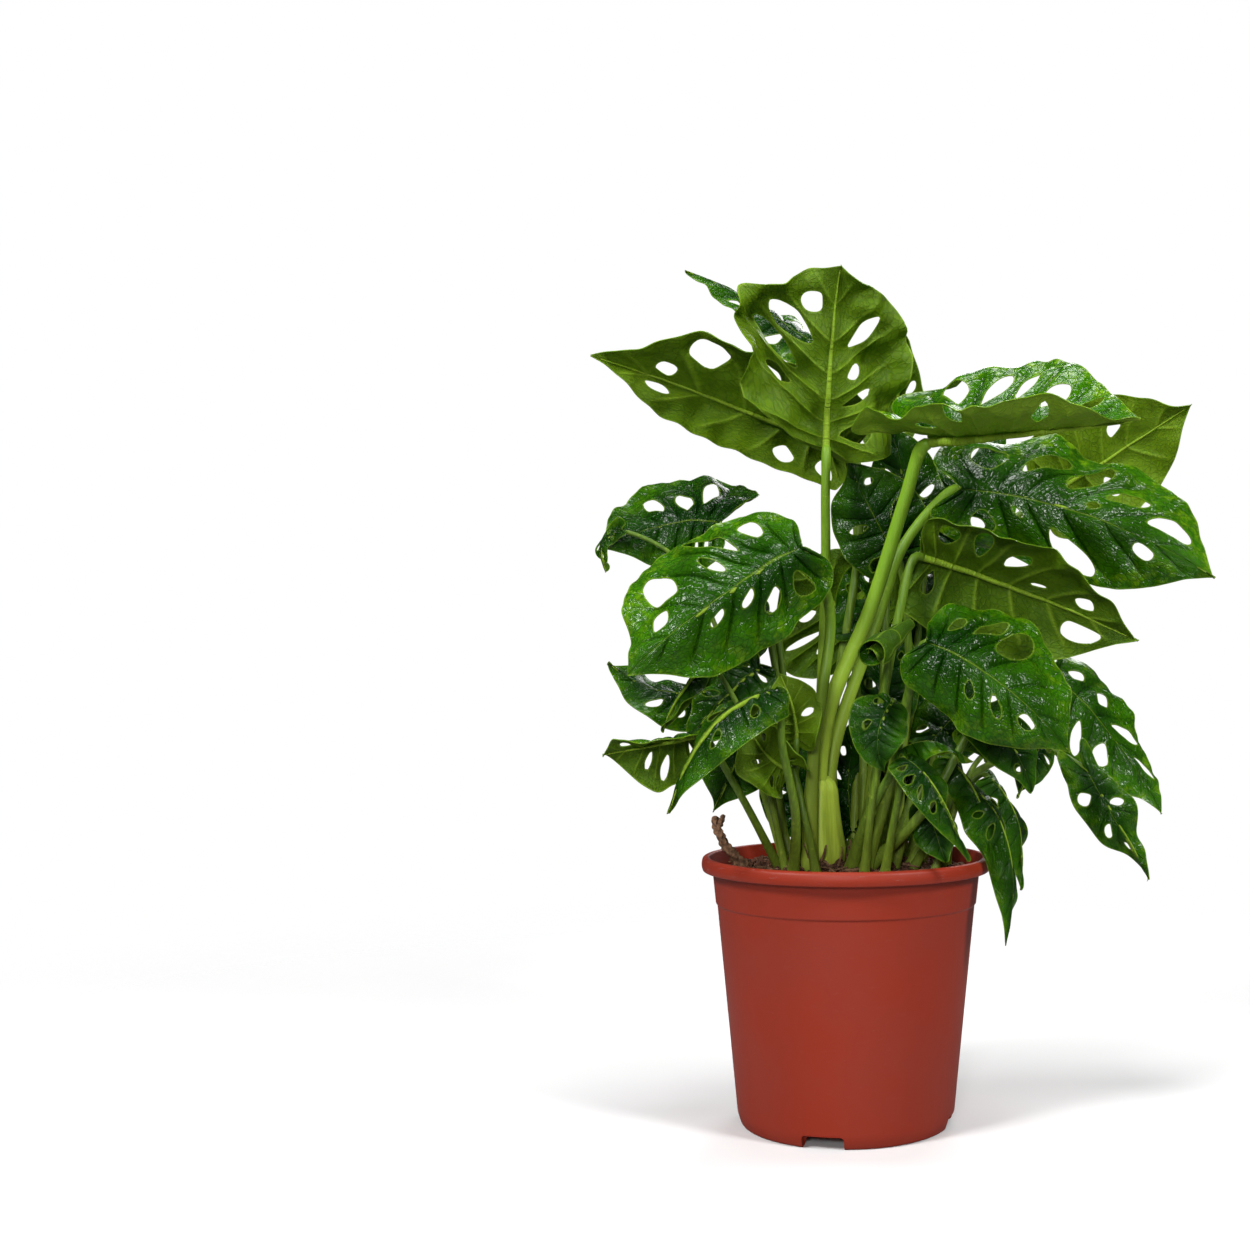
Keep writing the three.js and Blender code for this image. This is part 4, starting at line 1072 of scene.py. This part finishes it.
def make_pot():
    """The nursery pot: spun wall with a rolled rim, a stepped band, foot notches and drain holes."""
    top, rim = POT_HIGH.z / MM, POT_HIGH.x / MM
    band, wall, foot = (value / MM for value in (sizes().rim_band, sizes().pot_wall, sizes().foot_radius))
    step = top - BAND_DROP
    inner, outer, height = CHANNEL["inner"], CHANNEL["outer"], CHANNEL["height"]
    under_rim = wall_line(top - band)
    outside = [
        (0, 0, 0), (inner - 2, 0, 1), (inner, height, 1), (outer, height, 1), (outer + 3, 0, 0.8),
        (foot, 0, 1.8), (wall_line(6), 6, 3), (wall_line(step) - 0.8, step, 0.5),
        (wall_line(step + 1), step + 1, 0.5), (under_rim, top - band, 1.4),
        (rim - 0.9, top - band - 0.2, 0.8), (rim, top - band + 3, 1.6),
        (rim - 0.7, top - 0.4, 1.8), (rim - 4.6, top, 1.3),
    ]
    inside = [
        (under_rim - wall, top - band - 1, 2), (wall_line(FLOOR_TOP) - wall, FLOOR_TOP, 2),
        (inner - 1.5, FLOOR_TOP, 1), (inner - 3.5, 1.5, 1), (0, 1.5, 0),
    ]
    line = rounded(outside + inside)
    mesh = bpy.data.meshes.new("fine_pot")
    mesh.from_pydata([(x * MM, 0, z * MM) for x, z in line], [(i, i + 1) for i in range(len(line) - 1)], [])
    pot = new_object("fine_pot", mesh)
    edit(
        pot,
        lambda: bpy.ops.mesh.select_all(action="SELECT"),
        lambda: bpy.ops.mesh.spin(steps=160, angle=2 * math.pi, center=(0, 0, 0), axis=(0, 0, 1)),
        merge_doubles,
        lambda: bpy.ops.mesh.normals_make_consistent(inside=False),
    )
    for index in range(NOTCHES):
        angle = -math.pi / 2 - math.radians(NOTCH_TURN) + index * math.pi / 2
        cut_pot(pot, angle, notch_cutter)
    for index in range(DRAINS):
        cut_pot(pot, (index + 0.5) * math.pi / 3, drain_cutter)
    return finish_piece(pot, "pot", "pot", angle=35, materials=["pot_plastic"])


def notch_cutter():
    place = ((sizes().foot_radius / MM + 1) * MM, 0, NOTCH_HEIGHT * MM)
    bpy.ops.mesh.primitive_cube_add(size=1, location=place)
    cutter = bpy.context.object
    cutter.dimensions = [side * MM for side in NOTCH_SIZE]
    bpy.ops.object.transform_apply(location=True, scale=True)
    apply_modifier(cutter, "BEVEL", width=2.2 * MM, segments=5)
    return cutter


def drain_cutter():
    place = [value * MM for value in DRAIN_PLACE]
    bpy.ops.mesh.primitive_cylinder_add(vertices=32, radius=DRAIN_RADIUS * MM, depth=6 * MM, location=place)
    bpy.ops.object.transform_apply(location=True)
    return bpy.context.object


def cut_pot(pot, angle, maker):
    select_only()
    cutter = maker()
    cutter.data.transform(Matrix.Rotation(angle, 4, "Z"))
    apply_modifier(pot, "BOOLEAN", object=cutter, operation="DIFFERENCE", solver="EXACT")
    bpy.data.objects.remove(cutter)


def rough_height(x, y):
    """Small lumps of the soil's surface in millimetres."""
    heights = []
    for a, b in zip(x, y):
        broad = 2.2 * noise.fractal(Vector((a / 9, b / 9, 0.3)), 0.9, 2.0, 5)
        heights.append(broad + abs(noise.noise(Vector((a / 3, b / 3, 7)))))
    return np.array(heights)


def make_soil():
    """The block of peat: its crumbly top, and the smooth sides that the pot hides."""
    inner = sizes().pot_wall / MM + 1.1
    low, high = 1.8, FLOOR_TOP + 0.3
    edge = POT_HIGH.z / MM - SOIL_DROP
    side = wall_line(edge - 3) - inner
    buried = [(0, low), (28, low), (30.5, high), (wall_line(11) - inner, high), (side, edge - 4)]
    rings = buried + [(side * (1 - i / TOP_RINGS), None) for i in range(TOP_RINGS + 1)]
    soil = flat_grid("fine_soil", len(rings) - 1, SOIL_SIDES)
    flat = points_of(soil)
    ring = np.rint(flat[:, 0] * (len(rings) - 1)).astype(int)
    reach = np.array([value[0] for value in rings])[ring]
    angle = -math.pi * flat[:, 1]
    x, y = reach * np.cos(angle), reach * np.sin(angle)
    height = np.array([value[1] if value[1] is not None else np.nan for value in rings])[ring]
    top = np.isnan(height)
    fade = np.clip((side - reach[top]) / 3, 0, 1)
    height[top] = soil_top(x[top], y[top]) - 0.6 + rough_height(x[top], y[top]) * fade
    set_points(soil, np.stack([x, y, height], axis=1) * MM)
    edit(soil, merge_doubles)
    return finish_piece(soil, "soil", "soil", angle=180, materials=["peat_soil"])


def scattered(count, picker, reach=SOIL_REACH):
    """Random places on the soil, kept inside the pot's wall."""
    result = []
    while len(result) < count:
        x, y = picker.uniform(-reach, reach), picker.uniform(-reach, reach)
        if math.hypot(x, y) < reach:
            result.append((x, y))
    return result


def copies_of(template, name, matrices):
    """One piece made of many copies of a small template mesh."""
    shape = points_of(template)
    faces = [list(face.vertices) for face in template.data.polygons]
    corners, polygons = [], []
    for index, (matrix, jitter) in enumerate(matrices):
        moved = shape * jitter[:, None] @ np.array(matrix.to_3x3()).T + np.array(matrix.translation)
        corners.append(moved)
        polygons += [[i + index * len(shape) for i in face] for face in faces]
    mesh = bpy.data.meshes.new(name)
    mesh.from_pydata(np.vstack(corners).tolist(), [], polygons)
    bpy.data.objects.remove(template)
    return new_object(name, mesh)


def make_crumbs():
    """Loose crumbs of peat over the whole top."""
    picker = random.Random(11)
    select_only()
    bpy.ops.mesh.primitive_ico_sphere_add(subdivisions=1, radius=1)
    template = bpy.context.object
    matrices = []
    for x, y in scattered(sizes().crumbs, picker):
        size = picker.choice(CRUMB_SIZES) * picker.uniform(0.7, 1.15)
        height = soil_top(x, y) + size * picker.uniform(-0.1, 0.6)
        angle = picker.uniform(0, FULL_TURN)
        turn = Matrix.Rotation(angle, 4, Vector((picker.random(), picker.random(), 1)).normalized())
        stretch = Matrix.Diagonal((size, size * picker.uniform(0.6, 1), size * picker.uniform(0.5, 0.9), 1))
        matrix = Matrix.Scale(MM, 4) @ Matrix.Translation((x, y, height)) @ turn @ stretch
        jitter = np.array([picker.uniform(0.7, 1.25) for _ in range(12)])
        matrices.append((matrix, jitter))
    crumbs = copies_of(template, "peat_crumbs", matrices)
    return finish_piece(crumbs, "soil", angle=30, materials=["peat_soil"])


def make_fibres():
    """Fibres and slivers of bark that lie on the peat."""
    picker = random.Random(23)
    select_only()
    bpy.ops.mesh.primitive_cylinder_add(vertices=5, radius=1, depth=1)
    template = bpy.context.object
    matrices = []
    for x, y in scattered(sizes().fibres, picker, SOIL_REACH - 3):
        thick, long = picker.uniform(0.25, 0.8), picker.uniform(5, 16)
        height = soil_top(x, y) + picker.uniform(0.8, 2.6)
        heading = Matrix.Rotation(picker.uniform(0, FULL_TURN), 4, "Z")
        turn = heading @ Matrix.Rotation(picker.uniform(1.3, 1.8), 4, "X")
        stretch = Matrix.Diagonal((thick, thick, long, 1))
        matrix = Matrix.Scale(MM, 4) @ Matrix.Translation((x, y, height)) @ turn @ stretch
        matrices.append((matrix, np.ones(10)))
    fibres = copies_of(template, "peat_fibres", matrices)
    return finish_piece(fibres, "soil", angle=40, materials=["dry_fibre"])


# ---------------------------------------------------------------- stage
# The floor: the grey that the plant's leaves reflect, and where it fades into white, in metres.
FLOOR_BOUNCE, FLOOR_FADE = (0.30, 0.30, 0.30), (0.30, 0.95)

# The camera: its lens and film width in millimetres, its shift, and its place in metres.
LENS, FILM, SHIFT, CAMERA_PLACE = 45.4, 36, (-0.1768, 0.04), (0, -0.93, 0.262)

# Each lamp: its name, its place, the height it is aimed at, its width and height, and its power.
LAMPS = [
    ("key_left", (-1.2, -1.1, 1.5), 0.2, 0.45, 0.45, 32),
    ("front", (-0.15, -1.9, 0.75), 0.2, 0.3, 0.3, 14),
    ("key_right", (1.3, -1.0, 1.4), 0.2, 0.4, 0.4, 26),
    ("top", (0, 0.1, 1.9), 0.2, 0.7, 0.5, 17),
    ("back", (0.5, 1.7, 1.2), 0.25, 0.9, 0.7, 12),
]


def area_light(name, place, aim, width, height, power):
    light = bpy.data.lights.new(name, "AREA")
    light.shape, light.size, light.size_y = "RECTANGLE", width, height
    light.energy = power
    lamp = new_object(name, light)
    lamp.location = place
    lamp.rotation_euler = (Vector((0, 0, aim)) - Vector(place)).to_track_quat("-Z", "Y").to_euler()


def make_floor():
    """A pale floor that fades into the white of the studio a few steps behind the plant."""
    select_only()
    bpy.ops.mesh.primitive_plane_add(size=1)
    floor = bpy.context.object
    floor.name = floor.data.name = "floor"
    set_points(floor, points_of(floor) * (10, 10, 1))
    shader = Shader("pale_floor", roughness=0.8, specular_ior_level=0.1)
    place = shader.object_coordinates()
    cloud = shader.noise(place, 1.5, 2.0)
    seen = shader.add("ShaderNodeLightPath", {}, output="Is Camera Ray")
    pale = shader.mix(cloud, (0.88, 0.88, 0.88), (0.90, 0.90, 0.90))
    shader.finish(shader.mix(seen, FLOOR_BOUNCE, pale))
    reach = shader.add("ShaderNodeVectorMath", {"operation": "LENGTH"}, place, output="Value")
    far = reach.step(*FLOOR_FADE)
    clear = shader.add("ShaderNodeBsdfTransparent", {})
    surface = Value(shader, shader.principled.outputs[0])
    both = shader.add("ShaderNodeMixShader", {}, far, surface, clear)
    shader.tree.links.new(both.socket, shader.tree.nodes["Material Output"].inputs["Surface"])
    floor.data.materials.append(shader.material)


def make_world(scene):
    """White behind the plant, and little light from all round, so that the lamps shape the leaves."""
    world = bpy.data.worlds.new("studio")
    world.use_nodes = True
    tree = world.node_tree
    dim = tree.nodes["Background"]
    dim.inputs["Color"].default_value = (1, 1, 1, 1)
    dim.inputs["Strength"].default_value = 0.05
    white = tree.nodes.new("ShaderNodeBackground")
    white.inputs["Color"].default_value = (1, 1, 1, 1)
    path = tree.nodes.new("ShaderNodeLightPath")
    pick = tree.nodes.new("ShaderNodeMixShader")
    tree.links.new(path.outputs["Is Camera Ray"], pick.inputs[0])
    tree.links.new(dim.outputs[0], pick.inputs[1])
    tree.links.new(white.outputs[0], pick.inputs[2])
    tree.links.new(pick.outputs[0], tree.nodes["World Output"].inputs["Surface"])
    scene.world = world


def make_stage():
    """Pale floor, soft studio lights and the camera in front of the plant."""
    make_floor()
    scene = bpy.context.scene
    scene.view_settings.view_transform = "Standard"
    make_world(scene)
    for lamp in LAMPS:
        area_light(*lamp)
    lens = bpy.data.cameras.new("view")
    lens.lens, lens.sensor_width = LENS, FILM
    lens.shift_x, lens.shift_y = SHIFT
    camera = new_object("view", lens)
    camera.location = CAMERA_PLACE
    camera.rotation_euler = (math.pi / 2, 0, 0)
    scene.camera = camera


# ---------------------------------------------------------------- operators
def make_leaves():
    for leaf in LEAVES:
        make_blade(leaf, "leaf_" + leaf["name"])
    for leaf in INNER_LEAVES:
        make_blade(leaf)


def make_stalks():
    for leaf in LEAVES:
        make_stalk(leaf, "stalk_" + leaf["name"])
    for leaf in INNER_LEAVES:
        make_stalk(leaf)


class PLANT_OT_stage(bpy.types.Operator):
    """Add the floor, the lights and the camera"""

    bl_idname = "plant.stage"
    bl_label = "Stage"

    def execute(self, context):
        make_stage()
        return {"FINISHED"}


class PLANT_OT_pot(bpy.types.Operator):
    """Add the nursery pot"""

    bl_idname = "plant.pot"
    bl_label = "Pot"

    def execute(self, context):
        make_pot()
        return {"FINISHED"}


class PLANT_OT_soil(bpy.types.Operator):
    """Add the peat with its crumbs and fibres"""

    bl_idname = "plant.soil"
    bl_label = "Soil"

    def execute(self, context):
        make_soil()
        make_crumbs()
        make_fibres()
        return {"FINISHED"}


class PLANT_OT_leaves(bpy.types.Operator):
    """Add the open leaves"""

    bl_idname = "plant.leaves"
    bl_label = "Leaves"

    def execute(self, context):
        make_leaves()
        return {"FINISHED"}


class PLANT_OT_stalks(bpy.types.Operator):
    """Add the leaf stalks"""

    bl_idname = "plant.stalks"
    bl_label = "Stalks"

    def execute(self, context):
        make_stalks()
        return {"FINISHED"}


class PLANT_OT_crown(bpy.types.Operator):
    """Add the sheath and the dry scraps at the foot of the stalks"""

    bl_idname = "plant.crown"
    bl_label = "Crown"

    def execute(self, context):
        make_crown()
        return {"FINISHED"}


class PLANT_OT_rolled_leaf(bpy.types.Operator):
    """Add the young leaf that is still rolled up"""

    bl_idname = "plant.rolled_leaf"
    bl_label = "Rolled Leaf"

    def execute(self, context):
        make_rolled_leaf()
        return {"FINISHED"}


class PLANT_OT_dead_stem(bpy.types.Operator):
    """Add the withered stem"""

    bl_idname = "plant.dead_stem"
    bl_label = "Dead Stem"

    def execute(self, context):
        make_dead_stem()
        return {"FINISHED"}


STEPS = (
    PLANT_OT_stage, PLANT_OT_pot, PLANT_OT_soil, PLANT_OT_leaves,
    PLANT_OT_stalks, PLANT_OT_crown, PLANT_OT_rolled_leaf, PLANT_OT_dead_stem,
)


class PLANT_PT_sidebar(bpy.types.Panel):
    """Lists the pieces of the plant"""

    bl_idname = "PLANT_PT_sidebar"
    bl_label = "Potted Plant"
    bl_space_type = "VIEW_3D"
    bl_region_type = "UI"
    bl_category = "Plant"

    def draw(self, context):
        for step in STEPS:
            self.layout.operator(step.bl_idname)
        for group in (context.scene.plant_sizes, context.scene.plant_colours):
            for name in group.__annotations__:
                self.layout.prop(group, name)


CLASSES = (PlantSizes, PlantColours, *STEPS, PLANT_PT_sidebar)


def register():
    for each in CLASSES:
        bpy.utils.register_class(each)
    bpy.types.Scene.plant_sizes = bpy.props.PointerProperty(type=PlantSizes)
    bpy.types.Scene.plant_colours = bpy.props.PointerProperty(type=PlantColours)


def unregister():
    del bpy.types.Scene.plant_colours
    del bpy.types.Scene.plant_sizes
    for each in reversed(CLASSES):
        bpy.utils.unregister_class(each)


def main():
    register()
    for step in STEPS:
        getattr(bpy.ops.plant, step.bl_idname.split(".")[1])()


if __name__ == "__main__":
    main()
